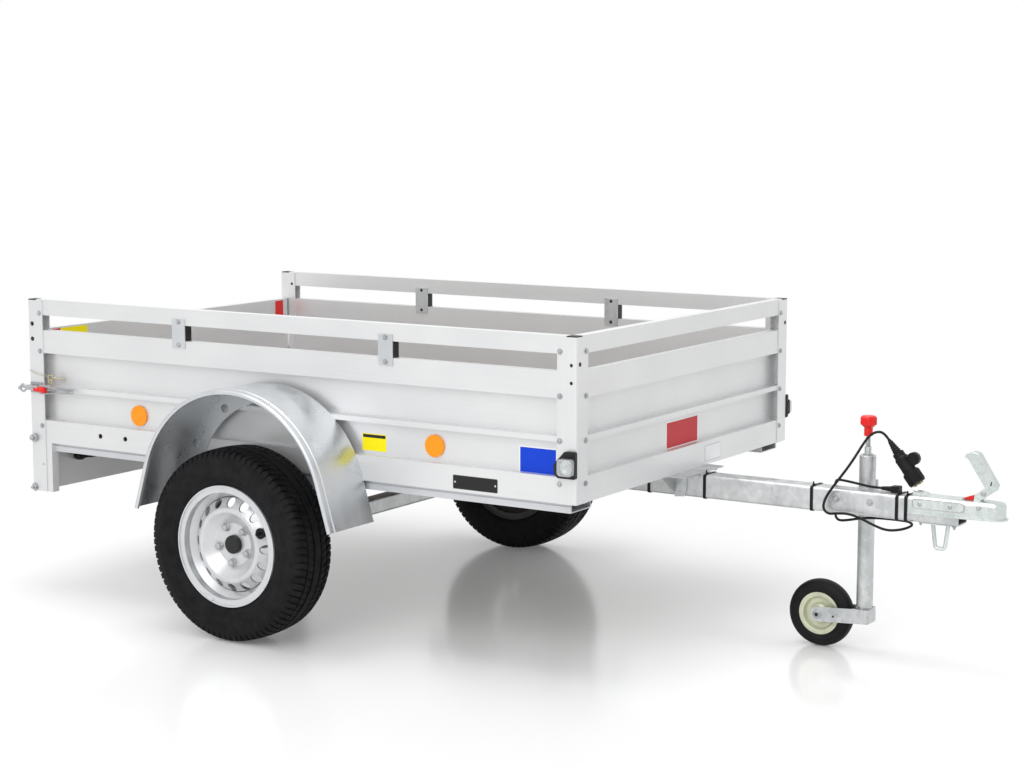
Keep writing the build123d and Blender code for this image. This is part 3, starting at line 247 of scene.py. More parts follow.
def drawn_aluminium(name, along, light=rgb(0.76, 0.762, 0.765), dark=rgb(0.69, 0.693, 0.70)):
    finish = Finish(name, Metallic=0.6)
    streaks = finish.noise(1.0, DRAWN[along], detail=2.0)
    clouds = finish.noise(3.5, detail=4.0)
    smudges = finish.level(finish.noise(11.0, detail=5.0), 0.52, 0.75)
    tone = finish.level(streaks * 0.3 + clouds * 0.7, 0.3, 0.7)
    return finish.paint(
        Base_Color=finish.mix(tone, dark, light),
        Roughness=0.38 + streaks * 0.07 + smudges * 0.07,
        Normal=finish.bump(streaks, 0.00008, 0.5))


aluminium = {axis: drawn_aluminium("aluminium_along_" + axis, axis) for axis in DRAWN}
frame_aluminium = drawn_aluminium("mill_aluminium", "x", rgb(0.66, 0.67, 0.69), rgb(0.55, 0.56, 0.58))
print("aluminium drawn along", sorted(aluminium))

# %% [markdown]
# ## Galvanised steel
#
# Hot zinc freezes into flat crystals, the spangle. Thick dipped steel is duller, with milky
# clouds and runs. A Voronoi texture gives each crystal its own grey and its own gloss, and
# clouding says how much of that the clouds hide.

# %% Zinc finishes


def spangled_zinc(name, crystal, light, dark, gloss, clouding, dents=0.25):
    """crystal is in crystals to the metre, gloss the roughness of the brightest ones."""
    finish = Finish(name, Metallic=0.86)
    crystals = finish.add("ShaderNodeSeparateColor", None, {
        "Color": finish.cells(crystal, output="Color")})
    clouds = finish.level(finish.noise(14.0, (1, 1, 0.45), detail=5.0, rough=0.62), 0.34, 0.68)
    tone = crystals * (1 - clouding) + clouds * clouding
    return finish.paint(
        Base_Color=finish.mix(tone, dark, light),
        Roughness=gloss + tone * 0.2,
        Normal=finish.bump(finish.noise(120.0, detail=2.0), 0.0002, dents))


sheet_zinc = spangled_zinc("galvanised_sheet", 75.0, rgb(0.66, 0.675, 0.69), rgb(0.58, 0.60, 0.62),
                           gloss=0.24, clouding=0.8, dents=0.0)
dipped_zinc = spangled_zinc("dipped_zinc", 60.0, rgb(0.74, 0.75, 0.755), rgb(0.42, 0.435, 0.44),
                            gloss=0.34, clouding=0.65)
bright_zinc = spangled_zinc("bright_zinc", 160.0, rgb(0.74, 0.77, 0.75), rgb(0.50, 0.56, 0.55),
                            gloss=0.24, clouding=0.6)
bolt_zinc = spangled_zinc("bolt_zinc", 300.0, rgb(0.56, 0.57, 0.58), rgb(0.33, 0.34, 0.35),
                          gloss=0.30, clouding=0.5)
yellow_zinc = spangled_zinc("yellow_zinc", 200.0, rgb(0.62, 0.55, 0.36), rgb(0.42, 0.38, 0.27),
                            gloss=0.28, clouding=0.6)
print("zinc finishes:", sheet_zinc.name, dipped_zinc.name, bright_zinc.name, yellow_zinc.name)

# %% [markdown]
# ## Rubber, plastic and paint
#
# Moulded pieces have a fine grain that breaks up their shine. The same short recipe makes them
# all: two close colours mixed by a cloud, a roughness that follows it and a grain for the bump.

# %% Moulded finishes


def moulded(name, light, dark, rough, grain=900.0, depth=0.0001, metal=0.0, shine=0.5):
    """shine is the shader's specular level: rubber and soft plastic reflect less than paint."""
    finish = Finish(name, Metallic=metal, Specular_IOR_Level=shine)
    clouds = finish.level(finish.noise(30.0, detail=5.0), 0.3, 0.7)
    return finish.paint(
        Base_Color=finish.mix(clouds, dark, light),
        Roughness=rough - 0.06 + clouds * 0.12,
        Normal=finish.bump(finish.noise(grain, detail=2.0), depth, 0.5))


black_plastic = moulded("black_plastic", rgb(0.020, 0.020, 0.021), rgb(0.010, 0.010, 0.011),
                        rough=0.46, shine=0.3)
tyre_rubber = moulded("tyre_rubber", rgb(0.014, 0.014, 0.015), rgb(0.004, 0.004, 0.005),
                      rough=0.62, grain=520.0, depth=0.0005, shine=0.12)
cable_rubber = moulded("cable_rubber", rgb(0.010, 0.010, 0.011), rgb(0.005, 0.005, 0.006),
                       rough=0.42, shine=0.2)
small_tyre_rubber = moulded("small_tyre_rubber", rgb(0.012, 0.012, 0.013), rgb(0.006, 0.006, 0.007),
                            rough=0.50, shine=0.15)
red_plastic = moulded("red_plastic", rgb(0.80, 0.022, 0.016), rgb(0.68, 0.014, 0.012),
                      rough=0.36, shine=0.3)
cream_plastic = moulded("cream_plastic", rgb(0.66, 0.67, 0.50), rgb(0.50, 0.52, 0.38),
                        rough=0.34, metal=0.3)
floor_board = moulded("floor_board", rgb(0.16, 0.12, 0.09), rgb(0.10, 0.075, 0.055),
                      rough=0.5, grain=160.0, depth=0.0005)
print("moulded finishes:", black_plastic.name, tyre_rubber.name, red_plastic.name, cream_plastic.name)

# %% Paint the rims
# The side of each rim that faces the trailer gets painted shade, which fades out between these two
# reaches.
SHADED_REACH, UNSHADED_REACH = 0.768, 0.784      # metres from the middle of the trailer


def silver_paint(name, paint_light, paint_dark, painted_shade):
    """Metallic paint, with painted shade on the side that faces the trailer: near black, rougher and less
    metallic.
    """
    finish = Finish(name, Coat_Weight=0.25)
    _, across, _ = finish.split()
    # 0 where the painted shade lies, 1 on the outer side of the rim
    unshaded = finish.level(abs(across) + finish.noise(30.0) * 0.004, SHADED_REACH, UNSHADED_REACH)
    clouds = finish.level(finish.noise(30.0, detail=5.0), 0.3, 0.7)
    return finish.paint(
        Base_Color=finish.mix(unshaded, painted_shade, finish.mix(clouds, paint_dark, paint_light)),
        Metallic=unshaded * 0.55,
        Roughness=0.62 - unshaded * 0.32 + clouds * 0.10,
        Normal=finish.bump(finish.noise(2600.0, detail=2.0), 0.00005, 0.5))


rim_paint = silver_paint("rim_paint", rgb(0.64, 0.65, 0.66), rgb(0.58, 0.59, 0.605),
                         painted_shade=rgb(0.035, 0.032, 0.03))
print("rims are clean from", UNSHADED_REACH, "m outwards")

# %% Lenses


def lens(name, bright, deep, prisms=260.0, depth=0.0001, alpha=1.0):
    """Coloured plastic; prisms is how many to the metre are moulded inside it."""
    finish = Finish(name, Coat_Weight=0.15, Alpha=alpha, Specular_IOR_Level=0.25)
    ridges = finish.cells(prisms)
    clouds = finish.noise(40.0)
    return finish.paint(
        Base_Color=finish.mix(finish.level(ridges * 1.2 + clouds * 0.3, 0.1, 0.9), deep, bright),
        Roughness=0.12 + clouds * 0.06,
        Normal=finish.bump(ridges, depth, 0.6))


red_lens = lens("red_lens", rgb(0.62, 0.02, 0.02), rgb(0.30, 0.008, 0.01), prisms=320.0, depth=0.0006)
amber_lens = lens("amber_lens", rgb(1.0, 0.33, 0.004), rgb(0.90, 0.20, 0.002), prisms=420.0, depth=0.0006)
clear_lens = lens("clear_lens", rgb(0.74, 0.76, 0.77), rgb(0.46, 0.48, 0.50), alpha=0.5)
print("lenses:", red_lens.name, amber_lens.name, clear_lens.name)

# %% [markdown]
# ## Finishes on the measured parts
#
# A part keeps its measured mesh and only changes its material. The table names each part's
# finish and leaves the shape alone.

# %% Give each part its finish
NODE_FINISH = {
    aluminium["x"]: ("side_walls", "top_rails"),
    aluminium["y"]: ("front_wall", "tailgate", "rear_beam"),
    aluminium["z"]: ("front_posts", "rear_posts", "rear_legs"),
    frame_aluminium: ("side_members", "floor_bearers"),
    floor_board: ("floor",),
    black_plastic: ("post_caps", "rail_blocks", "plate_lamps", "marker_brackets", "hub_cap_left",
                    "hub_cap_right"),
    sheet_zinc: ("mudguard_left", "mudguard_right", "rail_straps"),
    dipped_zinc: ("axle_beam", "axle_hangers", "suspension_arms", "drawbar", "drawbar_bracket",
                  "jockey_clamp", "jockey_tube", "jockey_inner_tube", "jockey_fork"),
    bright_zinc: ("coupling_head", "coupling_lever", "support_loop", "hub_left", "hub_right",
                  "jockey_spindle"),
    bolt_zinc: ("tailgate_eyes", "tailgate_latches"),
    rim_paint: ("rim_left", "rim_right"),
    tyre_rubber: ("tyre_left", "tyre_right"),
    small_tyre_rubber: ("jockey_tyre",),
    cream_plastic: ("jockey_rim",),
    red_plastic: ("jockey_knob",),
    red_lens: ("tail_lamps",),
    clear_lens: ("marker_lenses",),
    amber_lens: ("side_reflectors",),
    cable_rubber: ("trailer_plug", "cable_glands", "cable_ties", "fixed_cable", "lamp_plug"),
}
for material, names in NODE_FINISH.items():
    for name in names:
        mesh = nodes[name].data
        mesh.materials.clear()
        mesh.materials.append(material)
finished = {name for names in NODE_FINISH.values() for name in names}
print("finished", len(finished), "parts; plain:", sorted(set(nodes) - finished))

# %% [markdown]
# ## The free cable
#
# The lamp cable is a 7.5 mm flex of about 1.2 m. It leaves a gland on the drawbar, goes down the
# far side, comes back under the bar in a loop, and climbs past the jockey spindle into its plug.
# The same points as the solid's route are the control points of one smooth NURBS curve.

# %% Lay the cable
CABLE_DIAMETER = 0.0075
CABLE_ROUTE = (
    (1.176, 0.008, 0.501), (1.141, 0.008, 0.501), (1.101, 0.007, 0.507), (1.066, 0.012, 0.510),
    (1.033, 0.028, 0.509), (1.012, 0.056, 0.497), (1.005, 0.072, 0.463), (1.008, 0.070, 0.426),
    (1.017, 0.048, 0.397), (1.038, 0.024, 0.389), (1.071, 0.015, 0.395), (1.114, 0.014, 0.406),
    (1.159, 0.015, 0.411), (1.198, 0.015, 0.412), (1.228, 0.015, 0.412), (1.258, 0.014, 0.411),
    (1.280, -0.010, 0.409), (1.280, -0.043, 0.406), (1.258, -0.066, 0.400), (1.222, -0.067, 0.396),
    (1.182, -0.063, 0.406), (1.139, -0.059, 0.422), (1.100, -0.057, 0.430), (1.065, -0.056, 0.426),
    (1.039, -0.056, 0.422), (1.023, -0.056, 0.438), (1.031, -0.056, 0.468), (1.051, -0.055, 0.499),
    (1.071, -0.047, 0.529), (1.086, -0.025, 0.558), (1.097, 0.003, 0.588), (1.108, 0.026, 0.619),
    (1.122, 0.043, 0.645), (1.142, 0.051, 0.656), (1.163, 0.051, 0.652), (1.177, 0.051, 0.634),
)

CABLE_STEPS, CABLE_ROUNDNESS = 12, 4      # steps between two control points, and round the wire


def smooth_wire(name, points, radius, material):
    """A round wire along one smooth curve, with the points as its control points."""
    curve = bpy.data.curves.new(name, "CURVE")
    curve.dimensions = "3D"
    curve.bevel_depth = radius
    curve.bevel_resolution = CABLE_ROUNDNESS
    curve.resolution_u = CABLE_STEPS
    curve.use_fill_caps = True
    spline = curve.splines.new("NURBS")
    spline.points.add(len(points) - 1)
    for control, point in zip(spline.points, points):
        control.co = (*point, 1.0)
    spline.order_u = 3
    spline.use_endpoint_u = True
    wire = bpy.data.objects.new(name, curve)
    bpy.context.scene.collection.objects.link(wire)
    curve.materials.append(material)
    return wire


cable = smooth_wire("free_cable", CABLE_ROUTE, CABLE_DIAMETER / 2, cable_rubber)
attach(cable, "trailer")
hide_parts("trailer_cable")
print("cable control points:", len(CABLE_ROUTE))

# %% [markdown]
# ## Turned and pressed fasteners
#
# Every bolt here is a washer, a six-sided head and a flat or domed end. One profile turned round
# its own axis makes each of them: six sides give a hexagon, twenty give a disc. A batch of
# bolts on one body is one mesh, which keeps the list of pieces short.

# %% Turn a profile on a surface
RIGHT, LEFT, FORWARD, BACK, DOWN, UP = (0, -1, 0), (0, 1, 0), (1, 0, 0), (-1, 0, 0), (0, 0, -1), (0, 0, 1)
SIDES = ((-1, RIGHT), (1, LEFT))
SMOOTH_ANGLE = math.radians(32)           # edges sharper than this stay sharp


def mm(x, y, z):
    """A place in millimetres as a vector in metres."""
    return Vector((x, y, z)) / 1000


def on_side(side, place):
    """A place given for the left side, taken to one side of the trailer."""
    x, y, height = place
    return mm(x, side * y, height)


def facing(place, direction, spin=0.0):
    """Frame with its Z along direction; spin turns it about that."""
    turn = Vector(direction).to_track_quat("Z", "Y").to_matrix().to_4x4()
    return Matrix.Translation(place) @ turn @ Matrix.Rotation(spin, 4, "Z")


def skin(mesh, rings):
    """Wrap faces over a row of rings and close both ends."""
    for low, high in zip(rings, rings[1:]):
        for step in range(len(low)):
            after = (step + 1) % len(low)
            mesh.faces.new((low[step], low[after], high[after], high[step]))
    mesh.faces.new(list(reversed(rings[0])))
    mesh.faces.new(rings[-1])


def turned(mesh, where, profile, sides):
    """Add rings of (radius, height) in millimetres, and close both ends."""
    rings = []
    for radius, height in profile:
        ring = []
        for step in range(sides):
            angle = 2 * math.pi * step / sides
            local = mm(radius * math.cos(angle), radius * math.sin(angle), height)
            ring.append(mesh.verts.new(where @ local))
        rings.append(ring)
    skin(mesh, rings)


def as_piece(name, mesh, finish, body, smooth=True):
    """Turn a bmesh into a piece that rides a body."""
    bmesh.ops.recalc_face_normals(mesh, faces=mesh.faces)
    data = bpy.data.meshes.new(name)
    mesh.to_mesh(data)
    mesh.free()
    if smooth:
        data.polygons.foreach_set("use_smooth", [True] * len(data.polygons))
        data.set_sharp_from_angle(angle=SMOOTH_ANGLE)
    data.materials.append(finish)
    piece = bpy.data.objects.new(name, data)
    bpy.context.scene.collection.objects.link(piece)
    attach(piece, body)
    return piece


print("a side's sign and the way it faces:", SIDES)

# %% Bolts and rivets
WASHER = ((0.85, 0), (0.85, 1.0), (0.75, 1.3))      # radius in parts of the head's width, height
HEAD_SEAT = 1.2                                     # height of the head's foot in its washer
HEAD_TALL, THREAD_RADIUS = 0.42, 0.29               # in parts of the head's width
DOME_WIDE, DOME_TALL, FLANGE = 0.82, 0.5, 0.5       # a rivet's dome in parts of its radius; mm
SPIN_ALONG, SPIN_UP = 40, 70                        # radians to the metre: no two heads line up


def hex_bolt(mesh, place, direction, across=10.0, washer=True, stud=0.0):
    """Washer, hexagon head and, for a nut, the end of its stud; across is over the flats."""
    where = facing(place, direction, place.x * SPIN_ALONG + place.z * SPIN_UP)
    base = 0.0
    if washer:
        turned(mesh, where, [(across * share, height) for share, height in WASHER], 20)
        base = HEAD_SEAT
    radius = across / math.sqrt(3)
    tall = across * HEAD_TALL
    turned(mesh, where, ((radius, base), (radius, base + tall * 0.86), (radius * 0.84, base + tall)), 6)
    if stud:
        thread = across * THREAD_RADIUS
        turned(mesh, where, ((thread, base), (thread, base + tall + stud - 1),
                             (thread * 0.8, base + tall + stud)), 14)


def round_rivet(mesh, place, direction, radius=5.0):
    """Low domed head on a thin flange."""
    dome = [(radius, 0), (radius, FLANGE)]
    for degree in (0, 30, 55, 75):
        angle = math.radians(degree)
        dome.append((radius * DOME_WIDE * math.cos(angle), FLANGE + radius * DOME_TALL * math.sin(angle)))
    turned(mesh, facing(place, direction), dome, 18)


print("bolt kinds: hexagon, round")

# %% [markdown]
# ## Outlines, rods and rings
#
# The rest of the trim is a flat outline given a thickness, a rod between two places, or a ring
# of wire. Each helper adds to a batch mesh, and the raised outline gets a bevel round its top,
# because a real edge is never sharp and a bevel is what catches the light.

# %% Helpers for outlines, rods and rings


def rounded(wide, tall, corner):
    """Outline of a rectangle with rounded corners, about the origin."""
    outline = []
    for quarter, (right, top) in enumerate(((1, 1), (-1, 1), (-1, -1), (1, -1))):
        for degree in (0, 30, 60, 90):
            angle = math.radians(90 * quarter + degree)
            outline.append((right * (wide / 2 - corner) + corner * math.cos(angle),
                            top * (tall / 2 - corner) + corner * math.sin(angle)))
    return outline


def upright(place, out):
    """Frame on a wall that faces out: X sideways, Y up, Z outwards."""
    sideways = Vector(UP).cross(Vector(out))
    turn = Matrix((sideways, Vector(UP), Vector(out))).transposed().to_4x4()
    return Matrix.Translation(place) @ turn


def raised(mesh, where, outline, thick, bevel=0.6):
    """Raise an outline, in millimetres, along the frame's Z, with a bevelled top."""
    middle = sum((Vector(point) for point in outline), Vector((0, 0))) / len(outline)
    rings = []
    for height, inset in ((0, 0), (thick - bevel, 0), (thick, bevel)):
        ring = []
        for point in outline:
            away = (Vector(point) - middle).normalized()
            x, y = Vector(point) - away * inset
            ring.append(mesh.verts.new(where @ mm(x, y, height)))
        rings.append(ring)
    skin(mesh, rings)


def rod(mesh, start, end, radius, sides=12):
    run = end - start
    turned(mesh, facing(start, run), ((radius, 0), (radius, run.length * 1000)), sides)


def hoop(mesh, where, radius, wire, steps=28, sides=8):
    """Ring of round wire about the frame's Z."""
    rings = []
    for step in range(steps):
        angle = 2 * math.pi * step / steps
        ring = []
        for side in range(sides):
            lift = 2 * math.pi * side / sides
            reach = radius + wire * math.cos(lift)
            ring.append(mesh.verts.new(where @ mm(reach * math.cos(angle), reach * math.sin(angle),
                                                  wire * math.sin(lift))))
        rings.append(ring)
    for ring, after in zip(rings, rings[1:] + rings[:1]):
        for side in range(sides):
            beside = (side + 1) % sides
            mesh.faces.new((ring[side], after[side], after[beside], ring[beside]))


def band(mesh, where, outer, inner, wide):
    """Strap of the given width along the frame's Z, between two outlines of as many points."""
    rings = [[mesh.verts.new(where @ mm(x, y, height)) for x, y in outline]
             for outline, height in ((outer, 0), (outer, wide), (inner, wide), (inner, 0))]
    for ring, beside in zip(rings, rings[1:] + rings[:1]):
        for step in range(len(ring)):
            after = (step + 1) % len(ring)
            mesh.faces.new((ring[step], ring[after], beside[after], beside[step]))


print("outline of a label corner:", len(rounded(10, 10, 2)), "points")

# %% [markdown]
# ## Bolts of the box
#
# The corner posts clamp the boards between two flanges, with a bolt at each rail and band. The
# straps hold the rails the same way. On the inside the heads are black and round.

# %% Bolt the box together
POST_FACE, FRONT_FACE = highest("front_posts", Y), highest("front_posts", X)
BAND_FACE = highest("side_walls", Y)
POST_INSIDE, WALL_INSIDE = highest("front_wall", Y), highest("floor", Y)
LATCH_BOLT = 671                                    # the latch is here on the rear posts
BOLT_HEIGHTS = (918, 795, LATCH_BOLT, 551)
FRONT_BOLT_X, REAR_BOLT_X, CORNER_INSET = 512, -1450, 50
LEG_RIVET_HEIGHT, LEG_RIVET = 425, 3.5
STRAP_X, STRAP_BOLT_HEIGHTS = (-859, -75), (922, 851)
BAND_HEAD_X, BAND_HEAD_HEIGHT, BROAD_HEAD = (-1340, -1110, -760, -330, 90, 330), 541, 5.5

box_bolts = bmesh.new()
inner_bolts = bmesh.new()
for side, out in SIDES:
    inwards = (0, -side, 0)
    for height in BOLT_HEIGHTS:
        hex_bolt(box_bolts, mm(FRONT_BOLT_X, side * POST_FACE, height), out)
        hex_bolt(box_bolts, mm(FRONT_FACE, side * (POST_FACE - CORNER_INSET), height), FORWARD)
        if height != LATCH_BOLT:
            hex_bolt(box_bolts, mm(REAR_BOLT_X, side * POST_FACE, height), out)
            round_rivet(inner_bolts, mm(REAR_BOLT_X, side * POST_INSIDE, height), inwards)
        round_rivet(inner_bolts, mm(FRONT_BOLT_X, side * POST_INSIDE, height), inwards)
    round_rivet(box_bolts, mm(REAR_BOLT_X, side * POST_FACE, LEG_RIVET_HEIGHT), out, LEG_RIVET)
    for x in STRAP_X:
        for height in STRAP_BOLT_HEIGHTS:
            hex_bolt(box_bolts, mm(x, side * POST_FACE, height), out)
            round_rivet(inner_bolts, mm(x, side * POST_INSIDE, height), inwards, BROAD_HEAD)
    for x in BAND_HEAD_X:
        round_rivet(inner_bolts, mm(x, side * WALL_INSIDE, BAND_HEAD_HEIGHT), inwards, BROAD_HEAD)
as_piece("box_bolts", box_bolts, bolt_zinc, "trailer")
as_piece("inner_bolts", inner_bolts, black_plastic, "trailer")
print("bolt rows at", BOLT_HEIGHTS, "on posts that end at", POST_FACE)

# %% Bolts of the running gear and the drawbar
ARCH_FACE, ARCH_BOLTS = BAND_FACE + 2, ((-795, 552), (-680, 668), (-310, 668), (-195, 552))
ARCH_WASHER = ((13, 0), (13, 1.4), (12, 2))
HANGER_X, HANGER_Y = (middle_of("axle_beam", X) - 48, middle_of("axle_beam", X) + 48), (570, 610)
HANGER_TOP, HANGER_FOOT, PLATE = highest("axle_hangers", Z), lowest("axle_hangers", Z), 6
BAR_TOP = highest("drawbar", Z)
BRACKET_X, BRACKET_Y, FRAME_BOLT = (510, 600), 95, 13
LEG_BOLT_PLACE, LEG_BOLT = (-1489, POST_FACE, 346), 17
CLAMP_X, CLAMP_HEIGHT, CLAMP_REACH = (1055, 1159), 464, {-1: 35, 1: 40}
LOOP_BOLTS = ((1299, 422), (1398, 419))

gear_bolts = bmesh.new()
for side, out in SIDES:
    for x, height in ARCH_BOLTS:
        turned(gear_bolts, facing(mm(x, side * ARCH_FACE, height), out), ARCH_WASHER, 24)
        hex_bolt(gear_bolts, mm(x, side * (ARCH_FACE + 2), height), out, 11)
    for x in HANGER_X:
        for y in HANGER_Y:
            hex_bolt(gear_bolts, mm(x, side * y, HANGER_TOP - PLATE), DOWN, FRAME_BOLT)
            hex_bolt(gear_bolts, mm(x, side * y, HANGER_FOOT + PLATE), UP, FRAME_BOLT)
    hex_bolt(gear_bolts, on_side(side, LEG_BOLT_PLACE), out, LEG_BOLT, stud=9)
    for x in BRACKET_X:
        hex_bolt(gear_bolts, mm(x, side * BRACKET_Y, BAR_TOP), DOWN, FRAME_BOLT)
    for x in CLAMP_X:
        hex_bolt(gear_bolts, mm(x, side * CLAMP_REACH[side], CLAMP_HEIGHT), out, FRAME_BOLT)
for x, height in LOOP_BOLTS:
    hex_bolt(gear_bolts, mm(x, 0, height), DOWN, FRAME_BOLT, stud=7)
as_piece("gear_bolts", gear_bolts, bolt_zinc, "trailer")

HINGE_PLACE, HINGE_NUT = (-1482, 670, 510), 25.2
hinge_nuts = bmesh.new()
for side, out in SIDES:
    hex_bolt(hinge_nuts, on_side(side, HINGE_PLACE), out, HINGE_NUT, washer=False, stud=10)
as_piece("hinge_nuts", hinge_nuts, bolt_zinc, "tailgate")
print("hangers bolted at x", HANGER_X, "and the tailgate's hinge at", HINGE_PLACE)

# %% [markdown]
# ## Labels
#
# Vinyl labels and one riveted plate sit on the walls. They carry their colours and borders and
# are otherwise blank. Each is a thin sheet with rounded corners, coloured by how far across and
# how far up it a point is.

# %% Colour and cut a label
LABEL_THICK, LABEL_CORNER = 0.4, 3.0
FADED = 0.93                                        # share of its colour left where vinyl has aged


def label_finish(name, ground, band_colour=None, band=0.0, edge_colour=None, edge=0.0, size=(1, 1)):
    """Ground, a band over a share of the top and an edge in millimetres, on a label of this size."""
    finish = Finish(name, Specular_IOR_Level=0.2)
    across, up, _ = finish.split()
    half_wide, half_tall = (length / 2000 for length in size)
    faded = tuple(FADED * part for part in ground[:3]) + (1,)
    colour = finish.mix(finish.noise(60.0), faded, ground)
    if band_colour:
        colour = finish.mix(up > half_tall * (1 - 2 * band), colour, band_colour)
    if edge_colour:
        inside_wide = abs(across) < half_wide - edge / 1000
        inside_tall = abs(up) < half_tall - edge / 1000
        colour = finish.mix(inside_wide * inside_tall, edge_colour, colour)
    return finish.paint(Base_Color=colour, Roughness=0.32 + finish.noise(25.0) * 0.1)


def label(name, centre, out, size, finish, body="trailer"):
    """Rounded sheet of size (wide, tall) on a wall that faces out."""
    mesh = bmesh.new()
    raised(mesh, Matrix.Identity(4), rounded(*size, LABEL_CORNER), LABEL_THICK, bevel=0.1)
    sheet = as_piece(name, mesh, finish, body, smooth=False)
    sheet.matrix_world = upright(mm(*centre), out)
    return sheet


def printed(name, centre, out, size, ground, **marks):
    """A label with a finish of its own."""
    return label(name, centre, out, size, label_finish(name, ground, size=size, **marks))


print("labels are", LABEL_THICK, "mm thick")

# %% Stick the labels on
YELLOW, BLACK, WHITE = rgb(0.98, 0.84, 0.004), rgb(0.02, 0.02, 0.02), rgb(0.86, 0.87, 0.88)
BLUE, RED, SIGN_RED = rgb(0.004, 0.055, 0.62), rgb(0.72, 0.03, 0.03), rgb(0.56, 0.035, 0.045)
WORN_BLACK, GREY = rgb(0.09, 0.09, 0.09), rgb(0.30, 0.31, 0.33)
SKIN = -641.0                                       # the right wall between its raised bands
GATE_FACE, TAPE_HEIGHT = highest("tailgate", X), 829
PLATE_PLACE, PLATE_RIVETS = (232, -BAND_FACE, 524), (164, 300)

printed("warning_label", (-137, SKIN, 607), RIGHT, (86, 50), YELLOW,
        band_colour=BLACK, band=0.24, edge_colour=YELLOW, edge=2.5)
printed("blue_label", (425, SKIN, 602), RIGHT, (124, 82), BLUE, edge_colour=WHITE, edge=3.5)
printed("type_plate", PLATE_PLACE, RIGHT, (151, 40), BLACK, edge_colour=WORN_BLACK, edge=1.5)
printed("red_label", (537, 0, 610), FORWARD, (206, 86), SIGN_RED, edge_colour=WHITE, edge=5.0)
printed("white_label", (562, 153, 531), FORWARD, (102, 48), WHITE, edge_colour=GREY, edge=1.2)
red_tape = label_finish("red_tape", RED)
yellow_tape = label_finish("yellow_tape", YELLOW)
for side in (-1, 1):
    label("red_tape_" + str(side), (GATE_FACE, side * 580, TAPE_HEIGHT), FORWARD, (46, 58), red_tape,
          "tailgate")
label("yellow_tape", (GATE_FACE, -494, TAPE_HEIGHT), FORWARD, (122, 58), yellow_tape, "tailgate")
plate_rivets = bmesh.new()
for x in PLATE_RIVETS:
    round_rivet(plate_rivets, mm(x, -BAND_FACE - LABEL_THICK, PLATE_PLACE[Z]), RIGHT, 3)
as_piece("plate_rivets", plate_rivets, bright_zinc, "trailer")
print("labels on the right wall, the front and the tailgate")

# %% [markdown]
# ## Tyres
#
# A trailer tyre has a plain rounded side, a raised ring near the rim, lugs along its shoulder
# and straight grooves round its tread. The section is a list of places from the middle of the
# tread to the bead. Walking it round the wheel makes the tyre, and at each pitch a short step
# sinks by its own depth, which cuts the cross grooves.

# %% Tyre section and pitch
WHEEL_X, TYRE_RADIUS = middle_of("rim_right", X), middle_of("rim_right", Z)
HALF_TRACK = middle_of("rim_left", Y)
CROWN_DROP, TREAD_HALF = 4.0, 64.0
PITCHES = 82
PITCH_STEPS = (0.0, 0.20, 0.25, 0.95)     # the groove's floor lies between the first two
GROOVE = 7.0
# across the tyre, always sunk by, sunk further in a cross groove
TREAD = ((0, 0, 0), (12.6, 0, 0), (13.2, GROOVE, 0), (19.8, GROOVE, 0), (20.4, 0, 2.2),
         (30.5, 0, 3.0), (41.4, 0, 2.2), (42, GROOVE, 0), (46.8, GROOVE, 0), (47.4, 0, 5.5),
         (56, 0, 6.0), (TREAD_HALF, 0, 6.0))
# across, radius, pulled in by in a cross groove
SHOULDER = ((69, 283.8, 5.0), (73.6, 279, 4.0), (76.8, 272, 2.8), (78.6, 267, 1.4), (79.9, 262, 0),
            (81.5, 252, 0), (82.1, 250.5, 0), (82.1, 247, 0), (81.9, 245, 0), (82.3, 236, 0),
            (81.6, 224, 0), (79.4, 212, 0), (77.0, 204, 0), (77.4, 202.5, 0), (76.4, 199, 0),
            (74.6, 196, 0), (74.0, 192, 0), (70.5, 186.5, 0), (66.5, 182.5, 0), (65.5, 166, 0))
CUT_ACROSS, CUT_DOWN = 0.8, 0.6           # how a shoulder cut is shared between the two ways
SLANT = 0.42                              # cross grooves lean by this share of their run


def tyre_half_section():
    """Rows of (across, radius, cut across, cut radius)."""
    rows = []
    for across, sunk, cut in TREAD:
        crown = TYRE_RADIUS - CROWN_DROP * (across / TREAD_HALF) ** 2
        rows.append((across, crown - sunk, 0.0, cut))
    for across, radius, cut in SHOULDER:
        rows.append((across, radius, cut * CUT_ACROSS, cut * CUT_DOWN))
    return rows


half_section = tyre_half_section()
print("section of", len(half_section), "places,", PITCHES, "pitches")

# %% Walk the section round each wheel


def tyre(centre_y):
    """The section walked round a wheel whose middle is at centre_y."""
    mesh = bmesh.new()
    section = [(-1, row) for row in reversed(half_section[1:])] + [(1, row) for row in half_section]
    rings = []
    for pitch in range(PITCHES):
        for index, part in enumerate(PITCH_STEPS):
            cut_here = 1.0 if index < 2 else 0.0
            ring = []
            for hand, (across, radius, cut_across, cut_radius) in section:
                lean = SLANT * min(across, TREAD_HALF) / TYRE_RADIUS
                angle = 2 * math.pi * (pitch + part + 0.5 * (hand > 0)) / PITCHES + lean
                reach = radius - cut_radius * cut_here
                y = hand * (across - cut_across * cut_here)
                ring.append(mesh.verts.new(mm(WHEEL_X + reach * math.cos(angle), centre_y + y,
                                              TYRE_RADIUS + reach * math.sin(angle))))
            rings.append(ring)
    for ring, after in zip(rings, rings[1:] + rings[:1]):
        for place in range(len(section) - 1):
            mesh.faces.new((ring[place], after[place], after[place + 1], ring[place + 1]))
        mesh.faces.new((ring[-1], after[-1], after[0], ring[0]))
    return mesh


WHEELS = ((-1, "right"), (1, "left"))
for side, word in WHEELS:
    mesh = tyre(side * HALF_TRACK)
    rubber = as_piece("tread_" + word, mesh, tyre_rubber, "wheel_" + word)
    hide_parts("tyre_" + word)
print("tyres:", PITCHES * len(PITCH_STEPS) * 2 * len(half_section), "quads each")

# %% [markdown]
# ## Wheel fittings
#
# Five zinc bolts on a 112 mm circle hold each wheel. The rubber valve stands on a round seat
# that fills its hole in the disc, and a clip-on balance weight sits on the outer flange.

